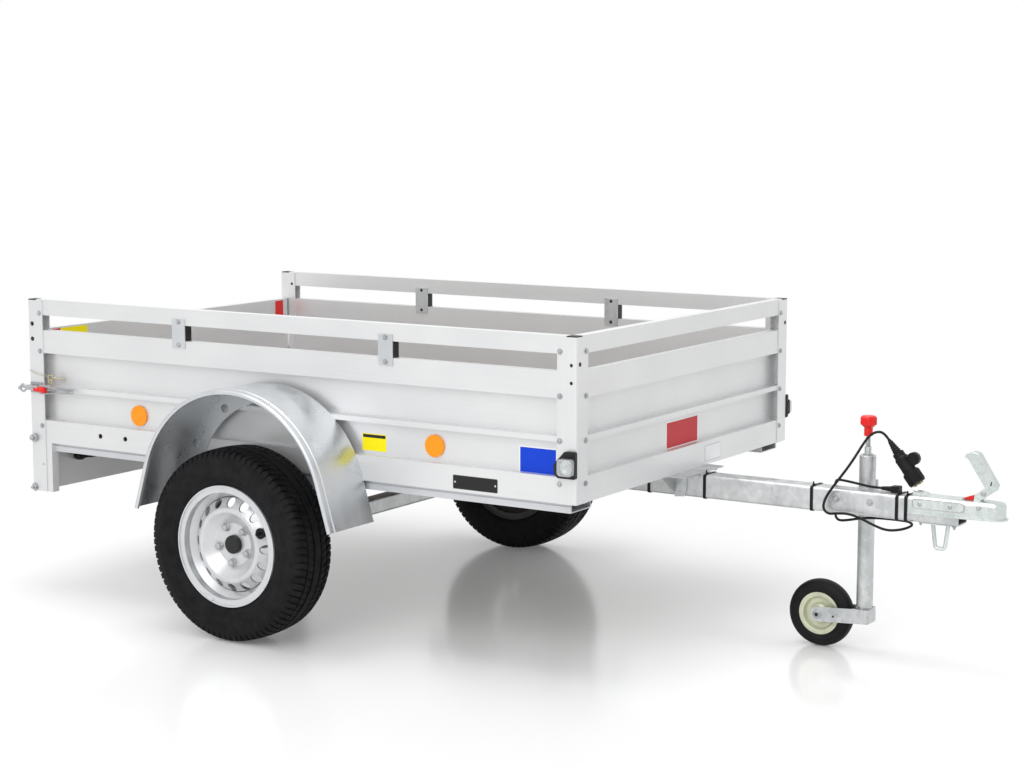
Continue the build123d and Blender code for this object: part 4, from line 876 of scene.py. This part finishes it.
# %% Fit the wheels
# circles are radii in millimetres, turns and angles are in degrees
BOLT_CIRCLE, BOLT_TURN, BOLTS, HUB_FACE = 56.0, 48.0, 5, 812.0
BOLT_SEAT = ((13, 0), (11.5, 4), (10, 5))
BOLT_HEAD = ((10.6, 4), (10.6, 14), (8.6, 16))
BOLT_END = ((5.5, 15), (5.5, 16.4), (4.6, 17))
VALVE_CIRCLE, VALVE_ANGLE, VALVE_FOOT = 129, 22.5, 826
VALVE = ((13, 0), (16.5, 9), (16.5, 13), (14, 15.5), (6, 16), (5, 19), (4.4, 26), (3.4, 27), (3.4, 30),
         (2.6, 31))
WEIGHT_CIRCLE, WEIGHT_ANGLE, WEIGHT_FOOT = 176.5, -117.0, 851
WEIGHT_PARTS, WEIGHT_TURN = 5, 2.1
WEIGHT = ((5, 0), (5.4, 3.4), (4, 5.6), (1.5, 6.2))


def on_wheel(side, radius, degrees, out):
    """Place on a wheel: radius from the axle, degrees from +X to +Z, out from the trailer's middle."""
    angle = math.radians(degrees)
    return mm(WHEEL_X + radius * math.cos(angle), side * out, TYRE_RADIUS + radius * math.sin(angle))


for side, word in WHEELS:
    out = (0, side, 0)
    bolts = bmesh.new()
    for bolt in range(BOLTS):
        place = on_wheel(side, BOLT_CIRCLE, BOLT_TURN + 360 / BOLTS * bolt, HUB_FACE)
        turned(bolts, facing(place, out), BOLT_SEAT, 20)
        turned(bolts, facing(place, out, bolt), BOLT_HEAD, 6)
        turned(bolts, facing(place, out), BOLT_END, 12)
    as_piece("wheel_bolts_" + word, bolts, bolt_zinc, "wheel_" + word)

    valve = bmesh.new()
    turned(valve, facing(on_wheel(side, VALVE_CIRCLE, VALVE_ANGLE, VALVE_FOOT), out), VALVE, 24)
    as_piece("valve_" + word, valve, cable_rubber, "wheel_" + word)

    weight = bmesh.new()
    for step in range(WEIGHT_PARTS):
        place = on_wheel(side, WEIGHT_CIRCLE, WEIGHT_ANGLE + WEIGHT_TURN * step, WEIGHT_FOOT)
        turned(weight, facing(place, out), WEIGHT, 10)
    as_piece("balance_weight_" + word, weight, sheet_zinc, "wheel_" + word)
print("wheel bolts on a", 2 * BOLT_CIRCLE, "mm circle")

# %% [markdown]
# ## Coupling head
#
# The head is pressed from sheet, with a raised panel on each side, rivets through it, a spring
# block behind the lever and a red wedge that shows when the ball is not locked. The lever has a
# folded lip along its back, and its slots are thin black sheets of painted shade. All of it is
# small, so the zinc, the rivets, the red wedge and the slots' painted shade are one batch each.

# %% Dress the coupling head
HEAD_TOP, HEAD_SIDE = highest("coupling_head", Z), 39.3
PANEL_PLACE, PANEL_SIZE, PANEL_THICK = (1363, 476), (150, 24), 2.4          # x and height
HEAD_RIVETS = ((1310, HEAD_SIDE, 475), (1399, HEAD_SIDE, 476), (1479, 34.3, 481))
HEAD_RIVET = ((7, 0), (7, 2.2), (5.4, 4), (2.4, 4.6))
LEVER_SIDE = highest("coupling_lever", Y)
LEVER_PIN_PLACE, LEVER_PIN = (1484, 518), ((7.5, 0), (7.5, 2), (5, 3.8))
TOP_PIN_X, TOP_PIN = 1425, ((6, 0), (6, 2), (4, 4.4), (1.6, 5))
LEVER_FOOT = (1474.0, HEAD_TOP)
LEVER_LIP = ((46, 46), (35, 63), (-8, 131), (-22, 134.5), (-40, 129))       # from the lever's foot
LIP_SIDE, LIP_WIRE = 12.6, 1.9
SPRING_BLOCK, SPRING_WIDE = ((0, 0), (44, 0), (40, 6), (17, 9.5), (3, 8.5)), 30

coupling_fittings = bmesh.new()
coupling_rivets = bmesh.new()
for side, out in SIDES:
    panel = upright(mm(PANEL_PLACE[0], side * HEAD_SIDE, PANEL_PLACE[1]), out)
    raised(coupling_fittings, panel, rounded(*PANEL_SIZE, 9), PANEL_THICK, 1.6)
    band(coupling_rivets, panel, rounded(154, 28, 10.5), rounded(151, 25, 9.5), 0.5)
    for x, y, height in HEAD_RIVETS:
        turned(coupling_rivets, facing(mm(x, side * y, height), out), HEAD_RIVET, 18)
    pin = mm(LEVER_PIN_PLACE[0], side * LEVER_SIDE, LEVER_PIN_PLACE[1])
    turned(coupling_rivets, facing(pin, out), LEVER_PIN, 18)
    places = [mm(LEVER_FOOT[0] + x, side * LIP_SIDE, LEVER_FOOT[1] + rise) for x, rise in LEVER_LIP]
    for start, end in zip(places, places[1:]):
        rod(coupling_fittings, start, end, LIP_WIRE, 10)
raised(coupling_fittings, upright(mm(1277, SPRING_WIDE / 2, HEAD_TOP), RIGHT), SPRING_BLOCK, SPRING_WIDE)
rod(coupling_fittings, mm(1268, 0, 508), mm(1298, 0, 503), 1.5)
turned(coupling_rivets, facing(mm(TOP_PIN_X, 0, HEAD_TOP), UP), TOP_PIN, 18)
as_piece("coupling_fittings", coupling_fittings, bright_zinc, "trailer")
as_piece("coupling_rivets", coupling_rivets, bolt_zinc, "trailer")
print("coupling dressed at x", LEVER_FOOT[0])

# %% The red wedge and the painted shade of the lever's slots
WEDGE_PLACE, WEDGE_WIDE = (1423, 9, HEAD_TOP + 0.5), 18
WEDGE = ((0, 2.5), (16, 0.5), (30, 0.5), (33, 14.5), (16, 9))
SLOT_PLACE, SLOT_SIZE, SLOT_LEAN = (1505.3, 547.7), (3.4, 13), 14           # x and height; degrees

lock_wedge = bmesh.new()
raised(lock_wedge, upright(mm(*WEDGE_PLACE), RIGHT), WEDGE, WEDGE_WIDE)
as_piece("lock_wedge", lock_wedge, red_plastic, "trailer")

# The lever's slots are thin black sheets: painted shade where the lever is open.
lever_slot_shade = bmesh.new()
for side, out in SIDES:
    where = upright(mm(SLOT_PLACE[0], side * LEVER_SIDE, SLOT_PLACE[1]), out)
    lean = Matrix.Rotation(math.radians(SLOT_LEAN * side), 4, "Z")
    raised(lever_slot_shade, where @ lean, rounded(*SLOT_SIZE, 1.6), 0.4, 0.1)
as_piece("lever_slot_shade", lever_slot_shade, black_plastic, "trailer")
print("wedge on the head's top at", HEAD_TOP)

# %% [markdown]
# ## Tailgate latches
#
# Each latch is a hook with a red sleeve that is squeezed to free it, and two thin wires that
# meet at its tip. A sprung pin hangs beside it on a wire of its own. Turned profiles make the
# sleeve, and rings of wire make the pin's spring and the eye at the latch's end.

# %% Sleeves, pins and wires
GRIP_START, GRIP_END = (-1464, 685, 673.5), (-1413, 685, 670)
GRIP_PROFILE = ((7.5, 0), (9.4, 3), (9.4, 13), (8.5, 15), (9.4, 17), (9.4, 27), (8.5, 29), (9.4, 31),
                (10.6, 37), (10.6, 47), (8.5, 51))
SPRING_PLACE, SPRING_RINGS, SPRING_THICK = (-1402, 674), ((711, 9.6), (698, 7.4)), 2.8
PIN_START, PIN_END, PIN_RADIUS = (-1400, 671, 711), (-1371, 645, 705), 3
PIN_WIRE = ((-1498, 673, 731), (-1470, 675, 722), (-1440, 675, 716.5), (-1408, 673, 714))
PIN_WIRE_RADIUS = 1.1
EYE_PLACE, EYE_RADIUS, EYE_WIRE = (-1511, 688, 673), 11.5, 3.4
EYE_STUD_PLACE, EYE_STUD = (-1522, 688, 672), ((3.5, 0), (6, 2), (6, 7), (3, 9))
BAIL_ROOT, BAIL_TIP, BAIL_HEIGHTS, BAIL_WIRE = -1436.0, (-1290.0, 690.0, 670.0), (687.0, 659.0), 2.0

latch_grips = bmesh.new()
latch_pins = bmesh.new()
latch_rings = bmesh.new()
for side, out in SIDES:
    start, end = on_side(side, GRIP_START), on_side(side, GRIP_END)
    turned(latch_grips, facing(start, end - start), GRIP_PROFILE, 20)
    for height, radius in SPRING_RINGS:
        hoop(latch_pins, upright(on_side(side, (*SPRING_PLACE, height)), out), radius, SPRING_THICK)
    rod(latch_pins, on_side(side, PIN_START), on_side(side, PIN_END), PIN_RADIUS)
    hoop(latch_rings, upright(on_side(side, EYE_PLACE), out), EYE_RADIUS, EYE_WIRE)
    turned(latch_rings, facing(on_side(side, EYE_STUD_PLACE), BACK), EYE_STUD, 14)
    for height in BAIL_HEIGHTS:
        root = on_side(side, (BAIL_ROOT, BAIL_TIP[Y], height))
        rod(latch_rings, root, on_side(side, BAIL_TIP), BAIL_WIRE, 10)
    places = [on_side(side, place) for place in PIN_WIRE]
    for before, after in zip(places, places[1:]):
        rod(latch_pins, before, after, PIN_WIRE_RADIUS, 8)
as_piece("latch_grips", latch_grips, red_plastic, "trailer")
as_piece("latch_pins", latch_pins, yellow_zinc, "trailer")
as_piece("latch_rings", latch_rings, bolt_zinc, "trailer")
print("grip profile of", len(GRIP_PROFILE), "rings")

# %% [markdown]
# ## Painted shade round the holes, and plugs
#
# The empty holes in the foot bands and the rear posts are ringed with thin black rings of painted
# shade, so that they stay open for a bolt and read as holes from a distance. The front posts each
# have a black plug in their forward face.

# %% Ring the empty holes with painted shade, and plug the front posts
# x, height, wall's face, hole radius
EMPTY_HOLES = ((-1198, 537, BAND_FACE, 5.5), (-1092, 537, BAND_FACE, 5.5),
               (-1482, 833, POST_FACE, 5.0), (-1482, 882, POST_FACE, 5.0))
SHADE_RING_WALL, SHADE_RING_THICK, SHADE_RING_PLAY = 2.2, 0.8, 0.1
FRONT_PLUG_PLACE, FRONT_PLUG = (FRONT_FACE, 651, 884), ((6.2, 0), (6.2, 0.8), (5, 1.3))

grommets = bmesh.new()
for side, out in SIDES:
    for x, height, face, radius in EMPTY_HOLES:
        # each black ring is painted shade round an empty hole
        inner = 2 * (radius + SHADE_RING_PLAY)
        outer = inner + 2 * SHADE_RING_WALL
        band(grommets, upright(mm(x, side * face, height), out), rounded(outer, outer, outer / 2),
             rounded(inner, inner, inner / 2), SHADE_RING_THICK)
    turned(grommets, facing(on_side(side, FRONT_PLUG_PLACE), FORWARD), FRONT_PLUG, 18)
as_piece("grommets", grommets, black_plastic, "trailer")
print("grommets:", 2 * len(EMPTY_HOLES))

# %% [markdown]
# ## Jockey wheel fittings
#
# The spindle is threaded, which a zigzag profile shows, and the small wheel's bolt has a washer,
# a head and a dark end on each side of the fork.

# %% Thread the spindle
SPINDLE = (middle_of("jockey_spindle", X), middle_of("jockey_spindle", Y))
TUBE_TOP = highest("jockey_tube", Z)
TUBE_CAP = ((15.5, 0), (15.5, 2.4), (13, 3.4))
THREAD_LOW, THREAD_TURNS, THREAD_PITCH = 607.0, 10, 3.0
THREAD_ROOT, THREAD_CREST = 6.1, 7.2

thread_profile = []
for turn in range(THREAD_TURNS):
    thread_profile += [(THREAD_ROOT, turn * THREAD_PITCH), (THREAD_CREST, (turn + 0.5) * THREAD_PITCH)]
thread = bmesh.new()
turned(thread, facing(mm(*SPINDLE, THREAD_LOW), UP), thread_profile, 20)
turned(thread, facing(mm(*SPINDLE, TUBE_TOP), UP), TUBE_CAP, 24)
as_piece("spindle_thread", thread, bolt_zinc, "trailer")
print("thread of", THREAD_TURNS, "turns")

# %% Bolt the fork
FORK_MIDDLE, FORK_FACE = middle_of("jockey_fork", Y), 34.0
FORK_AXLE, FORK_HOLE = (middle_of("jockey_rim", X), middle_of("jockey_rim", Z)), (1022, 98.8)
FORK_WASHER, FORK_HEAD = ((14, 0), (14, 1.6), (13, 2.2)), ((10.4, 2), (10.4, 5.2), (8.6, 6.4))
# The thinner of these two profiles is a black disc: painted shade over the hole in each side of the fork.
AXLE_END, HOLE_SHADE_DISC = ((5.6, 6), (5.6, 6.9), (4.6, 7.2)), ((3.4, 0), (3.4, 0.25))

fork_fittings = bmesh.new()
fork_dark = bmesh.new()
for side, out in SIDES:
    face = FORK_MIDDLE + side * FORK_FACE
    where = facing(mm(FORK_AXLE[0], face, FORK_AXLE[1]), out)
    turned(fork_fittings, where, FORK_WASHER, 24)
    turned(fork_fittings, where, FORK_HEAD, 6)
    turned(fork_dark, where, AXLE_END, 18)
    # painted shade: a thin black disc over the fork's hole
    turned(fork_dark, facing(mm(FORK_HOLE[0], face, FORK_HOLE[1]), out), HOLE_SHADE_DISC, 18)
as_piece("fork_fittings", fork_fittings, bolt_zinc, "jockey_fork")
as_piece("fork_dark", fork_dark, black_plastic, "jockey_fork")
print("small axle at", FORK_AXLE)

# %% [markdown]
# ## Plug, gland nut and ties
#
# The seven-pin plug has a ribbed boot where the cable enters, a ribbed collar, a sprung lid and
# brass pins in its mouth. The rings follow the plug's own axis.

# %% Dress the plug
PLUG_START = Vector(CABLE_ROUTE[-1])
PLUG_AXIS = (PLUG_START - Vector(CABLE_ROUTE[-2])).normalized()
PLUG_SIDE = PLUG_AXIS.cross(Vector(LEFT))
PLUG_LENGTH = 148.0
BOOT_LENGTH, BOOT_TIP, BOOT_ROOT = 42.0, 5.0, 12.0
BOOT_RINGS, BOOT_WIRE = (9, 16, 23, 30, 37), 1.7
BODY_RINGS, BODY_WIRE = ((67, 20), (101, 20), (147, 22.4)), 1.3             # along, radius
COLLAR_START, COLLAR_LENGTH, COLLAR_RADIUS, COLLAR_RIBS = 112, 32, 24.0, 16
LID_ALONG, LID_OUT, LID_RING, LID_THICK = 84.0, 31.0, 16.3, 16.0
LID_ARM, LID_ARM_OUT, LID_ARM_RADIUS = ((68, 18), (74, 26)), 7, 3.4


def on_plug(along, out=0.0):
    """Place on the plug, in millimetres from the cable's end and from the plug's axis."""
    return PLUG_START + PLUG_AXIS * along / 1000 + PLUG_SIDE * out / 1000


plug_trim = bmesh.new()
for along in BOOT_RINGS:
    radius = BOOT_TIP + (BOOT_ROOT - BOOT_TIP) * along / BOOT_LENGTH
    hoop(plug_trim, facing(on_plug(along), PLUG_AXIS), radius, BOOT_WIRE, sides=6)
for along, radius in BODY_RINGS:
    hoop(plug_trim, facing(on_plug(along), PLUG_AXIS), radius, BODY_WIRE, steps=36, sides=6)
collar = facing(on_plug(COLLAR_START), PLUG_AXIS)
for rib in range(COLLAR_RIBS):
    turn = Matrix.Rotation(2 * math.pi * rib / COLLAR_RIBS, 4, "Z")
    start, end = (collar @ turn @ mm(COLLAR_RADIUS, 0, height) for height in (0, COLLAR_LENGTH))
    rod(plug_trim, start, end, BOOT_WIRE, 6)
for side, out in SIDES:
    lid_face = on_plug(LID_ALONG, LID_OUT) + Vector(out) * LID_THICK / 2000
    hoop(plug_trim, facing(lid_face, out), LID_RING, BODY_WIRE, sides=6)
    start, end = (on_plug(*place) + Vector(out) * LID_ARM_OUT / 1000 for place in LID_ARM)
    rod(plug_trim, start, end, LID_ARM_RADIUS, 10)
plug_trim = as_piece("plug_trim", plug_trim, cable_rubber, "trailer")

PINS, PIN_CIRCLE, PIN = 7, 12.5, ((2.4, 0), (2.4, 4.6), (1.6, 5.6))
plug_pins = bmesh.new()
mouth = facing(on_plug(PLUG_LENGTH), PLUG_AXIS)
for pin in range(PINS):
    reach = 0 if pin == PINS - 1 else PIN_CIRCLE
    angle = math.radians(60 * pin)
    where = mouth @ Matrix.Translation(mm(reach * math.cos(angle), reach * math.sin(angle), -0.5))
    turned(plug_pins, where, PIN, 10)
plug_pins = as_piece("plug_pins", plug_pins, yellow_zinc, "trailer")

print("plug axis", [round(part, 3) for part in PLUG_AXIS])

# %% Gland nut, ties and the lamp plug
GLAND_PLACE, GLAND_NUT = (1209, 8, 501), ((9.5, -1), (9.5, 5), (8, 6.5))
CLIP_SCREWS, CLIP_SCREW = ((1227, 1, 511), (1227, 15, 511)), ((2.6, -0.5), (2.6, 0.8), (1.8, 1.4))
TIE_PLACES = (442, 630, 976, 1237, 1264)
TIE_WIDTH, TIE_TOP = 5.0, 493.6
TIE_HEAD, TIE_HEAD_TALL, TIE_HEAD_Y = (7.6, 9), 4.6, -19
TIE_TAIL, TIE_TAIL_THICK, TIE_TAIL_Y = ((-2.2, 0), (2.2, 0), (2.0, 9), (-2.0, 10)), 1.2, -21.5
TAPE_WIDTH, TAPE_OUTER, TAPE_INNER = 9.0, 74.0, 70.2
BAR_MIDDLE = middle_of("drawbar", Z)
LAMP_PLUG_Y, LAMP_PLUG_HEIGHT = middle_of("lamp_plug", Y), middle_of("lamp_plug", Z)
LAMP_PLUG_RING = ((13.4, 0), (15.2, 2), (15.2, 14), (13.4, 16))
LAMP_PLUG_BOOT = ((9.5, 0), (8.5, 6), (5.2, 20))

cable_trim = bmesh.new()
turned(cable_trim, facing(mm(*GLAND_PLACE), BACK), GLAND_NUT, 6)
for place in CLIP_SCREWS:
    turned(cable_trim, facing(mm(*place), UP), CLIP_SCREW, 12)
for x in TIE_PLACES:
    tape = upright(mm(x + (TIE_WIDTH - TAPE_WIDTH) / 2, 0, BAR_MIDDLE), FORWARD)
    outer, inner = rounded(TAPE_OUTER, TAPE_OUTER, 7), rounded(TAPE_INNER, TAPE_INNER, 5)
    band(cable_trim, tape, outer, inner, TAPE_WIDTH)
    head = facing(mm(x + TIE_WIDTH / 2, TIE_HEAD_Y, TIE_TOP), UP)
    raised(cable_trim, head, rounded(*TIE_HEAD, 1.2), TIE_HEAD_TALL)
    tail = upright(mm(x + TIE_WIDTH / 2, TIE_TAIL_Y, TIE_TOP + 3), RIGHT)
    raised(cable_trim, tail, TIE_TAIL, TIE_TAIL_THICK, 0.3)
turned(cable_trim, facing(mm(-1464, LAMP_PLUG_Y, LAMP_PLUG_HEIGHT), FORWARD), LAMP_PLUG_RING, 14)
turned(cable_trim, facing(mm(-1441, LAMP_PLUG_Y, LAMP_PLUG_HEIGHT), FORWARD), LAMP_PLUG_BOOT, 16)
as_piece("cable_trim", cable_trim, cable_rubber, "trailer")
print("ties at", TIE_PLACES)

# %% [markdown]
# ## Lamps
#
# A marker lamp is a clear cap over a small bright bowl, seen through it. A tail lamp is a black
# body with three lenses: amber at its outer end, red with a triangular reflector in the middle,
# and clear at its inner end. The number plate lamps shine down through a small window.

# %% Marker lamps
MARKER_BACK = highest("marker_brackets", Y)
MARKER_X, MARKER_HEIGHT = middle_of("marker_lenses", X), middle_of("marker_lenses", Z)
MARKER_SCREW, SCREW_RISE, SCREW_APART = ((3, 0), (3, 1), (2, 1.6)), 33, 10
BOWL = ((19, 3), (20.5, 12), (18.8, 12.6), (13, 7), (6, 5), (3, 4.8))
BULB = ((3.2, 5), (3.2, 13), (2.4, 16), (0.8, 17))

marker_frames = bmesh.new()
marker_bowls = bmesh.new()
for side, out in SIDES:
    place = mm(MARKER_X, side * MARKER_BACK, MARKER_HEIGHT)
    raised(marker_frames, upright(place, out), rounded(50, 50, 8), 3.2)
    band(marker_frames, upright(place, out), rounded(48.6, 48.6, 7), rounded(46, 46, 6), 8)
    for hand in (-1, 1):
        screw = mm(MARKER_X + SCREW_APART * hand, side * MARKER_BACK, MARKER_HEIGHT + SCREW_RISE)
        turned(marker_frames, facing(screw, out), MARKER_SCREW, 12)
    turned(marker_bowls, facing(place, out), BOWL, 28)
    turned(marker_bowls, facing(place, out), BULB, 14)
as_piece("marker_frames", marker_frames, black_plastic, "trailer")
as_piece("marker_bowls", marker_bowls, bright_zinc, "trailer")
print("marker bowls at", MARKER_X, MARKER_HEIGHT)

# %% Tail lamps
LAMP_SIZE, LAMP_BODY = (236, 104), 27.6
LAMP_SEAT, LAMP_HEIGHT = highest("tail_lamps", X), middle_of("tail_lamps", Z)
LAMP_Y = highest("tail_lamps", Y) - LAMP_SIZE[0] / 2
LENS_TALL, LENS_THICK = 90.0, 5.8
# lens: finish, slot, middle towards the outer end, width
LAMP_LENSES = (("amber", amber_lens, "orange_lens", 85, 52),
               ("red", red_lens, "red_lens", 2, 106),
               ("clear", clear_lens, "clear_lens", -83, 52))
LAMP_SCREWS, LAMP_SCREW = (-55, 57), ((2.4, -1), (2.4, 1), (1.6, 1.5))
REFLECTOR, REFLECTOR_DROP = 30, 6                   # middle to corner, and below the lens's middle

lamp_bodies = bmesh.new()
lamp_screws = bmesh.new()
for side, out in SIDES:
    seat = upright(mm(LAMP_SEAT, side * LAMP_Y, LAMP_HEIGHT), BACK)
    raised(lamp_bodies, seat, rounded(*LAMP_SIZE, 12), LAMP_BODY, 2.0)
    for across in LAMP_SCREWS:
        screw = seat @ mm(across * -side, 0, LAMP_BODY)
        turned(lamp_screws, facing(screw, BACK), LAMP_SCREW, 12)
lamp_bodies = as_piece("tail_lamp_bodies", lamp_bodies, black_plastic, "trailer")
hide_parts("tail_lamps")
as_piece("tail_lamp_screws", lamp_screws, bolt_zinc, "trailer")

triangle = []
for degree in (0, 240, 120):
    turn = math.radians(degree)
    triangle.append((REFLECTOR * math.sin(turn), REFLECTOR * math.cos(turn) - REFLECTOR_DROP))
for word, finish, slot, shift, wide in LAMP_LENSES:
    panes = bmesh.new()
    for side, out in SIDES:
        seat = upright(mm(LAMP_SEAT - LAMP_BODY, side * LAMP_Y, LAMP_HEIGHT), BACK)
        where = seat @ Matrix.Translation(mm(shift * -side, 0, 0))
        raised(panes, where, rounded(wide, LENS_TALL, 9), LENS_THICK, 1.8)
        if word == "red":
            raised(panes, where @ Matrix.Translation(mm(0, 0, LENS_THICK - 0.4)), triangle, 0.9, 0.3)
    as_piece("tail_lamp_" + word, panes, finish, "trailer")
print("tail lamps", LAMP_SIZE, "mm with", len(LAMP_LENSES), "lenses each")

# %% Number plate lamps
HOOD_MIDDLE, HOOD_Y = middle_of("plate_lamps", X), (-120, 120)
WINDOW_HEIGHT, WINDOW_SIZE = 464.4, (30, 24)
HOOD_SCREW_PLACE, HOOD_SCREW = (-1529.6, 478), ((3, 0), (3, 0.8), (2, 1.4))     # x and height

plate_windows = bmesh.new()
plate_screws = bmesh.new()
for y in HOOD_Y:
    window = facing(mm(HOOD_MIDDLE, y, WINDOW_HEIGHT), DOWN)
    raised(plate_windows, window, rounded(*WINDOW_SIZE, 4), 2.4)
    turned(plate_screws, facing(mm(HOOD_SCREW_PLACE[0], y, HOOD_SCREW_PLACE[1]), BACK), HOOD_SCREW, 12)
as_piece("plate_windows", plate_windows, clear_lens, "trailer")
as_piece("plate_screws", plate_screws, bolt_zinc, "trailer")
print("plate lamps dressed at x", HOOD_MIDDLE)

# %% [markdown]
# ## Floor and light
#
# A white room lights metal from all round, so the world is the main light. A large soft box in
# front and a small one overhead only add shape. The floor keeps the shadow and a faint
# reflection near the trailer, and fades to plain white further out, so that it has no horizon.
# The camera, and anything glossy, sees the world as plain white.

# %% Build the floor
FLOOR_SIZE = 60.0
FADE_START, FADE_END = 1.7, 3.7     # metres from the middle of the floor
NEAR_WHITE = 0.10                   # share of plain white in the floor under the trailer
PURE_WHITE = rgb(1, 1, 1)


def seen_ray(tree):
    """1 for a ray from the camera, off something glossy or through glass, and otherwise 0."""
    kinds = ("Is Camera Ray", "Is Glossy Ray", "Is Transmission Ray")
    camera_ray, glossy_ray, glass_ray = (tree.add("ShaderNodeLightPath", output=kind) for kind in kinds)
    return tree.math("ADD", camera_ray + glossy_ray, glass_ray, use_clamp=True)


floor_finish = Finish("studio_floor", Roughness=0.16, Base_Color=rgb(0.86, 0.86, 0.853))
where = floor_finish.place()
away = floor_finish.add("ShaderNodeVectorMath", {"operation": "LENGTH"}, {0: where}, "Value")
fade = floor_finish.add("ShaderNodeMapRange", {"interpolation_type": "SMOOTHSTEP"}, {
    "Value": away, "From Min": FADE_START, "From Max": FADE_END, "To Min": NEAR_WHITE, "To Max": 1.0})
plain_white = floor_finish.add("ShaderNodeEmission", None, {"Color": PURE_WHITE, "Strength": 1.0})
lit = Field(floor_finish, floor_finish.shader.outputs["BSDF"])
surface = floor_finish.add("ShaderNodeMixShader", None, {
    0: fade * seen_ray(floor_finish), 1: lit, 2: plain_white})
floor_finish.put(floor_finish.tree.nodes["Material Output"].inputs["Surface"], surface)

floor_mesh = bpy.data.meshes.new("studio_floor")
half = FLOOR_SIZE / 2
corners = [(-half, -half, 0), (half, -half, 0), (half, half, 0), (-half, half, 0)]
floor_mesh.from_pydata(corners, [], [(0, 1, 2, 3)])
studio_floor = bpy.data.objects.new("studio_floor", floor_mesh)
bpy.context.scene.collection.objects.link(studio_floor)
floor_mesh.materials.append(floor_finish.material)
print("floor fades from", FADE_START, "to", FADE_END, "m")

# %% Light the room
ROOM_COLOUR, ROOM_STRENGTH = rgb(0.97, 0.98, 0.985), 0.95
SOFT_BOXES = (
    # name, place, aimed at, size, watts
    ("key_light", (1.0, -6.5, 5.0), (0, 0, 0.5), 5.0, 190.0),
    ("top_light", (-0.6, -0.4, 5.5), (-0.3, 0, 0.4), 2.6, 118.0),
)

world = bpy.data.worlds.new("room")
bpy.context.scene.world = world
world.use_nodes = True
room = Nodes(world.node_tree)
ambient = Field(room, room.tree.nodes["Background"].outputs[0])
room.put(room.tree.nodes["Background"].inputs["Color"], ROOM_COLOUR)
room.put(room.tree.nodes["Background"].inputs["Strength"], ROOM_STRENGTH)
backdrop = room.add("ShaderNodeBackground", None, {"Color": PURE_WHITE})
sky = room.add("ShaderNodeMixShader", None, {0: seen_ray(room), 1: ambient, 2: backdrop})
room.put(room.tree.nodes["World Output"].inputs["Surface"], sky)

for name, place, aim, size, watts in SOFT_BOXES:
    lamp_data = bpy.data.lights.new(name, "AREA")
    lamp_data.size = size
    lamp_data.energy = watts
    lamp = bpy.data.objects.new(name, lamp_data)
    bpy.context.scene.collection.objects.link(lamp)
    lamp.location = place
    lamp.rotation_euler = (Vector(aim) - Vector(place)).to_track_quat("-Z", "Y").to_euler()
bpy.context.scene.view_settings.view_transform = "Standard"
print("lamps:", [row[0] for row in SOFT_BOXES])
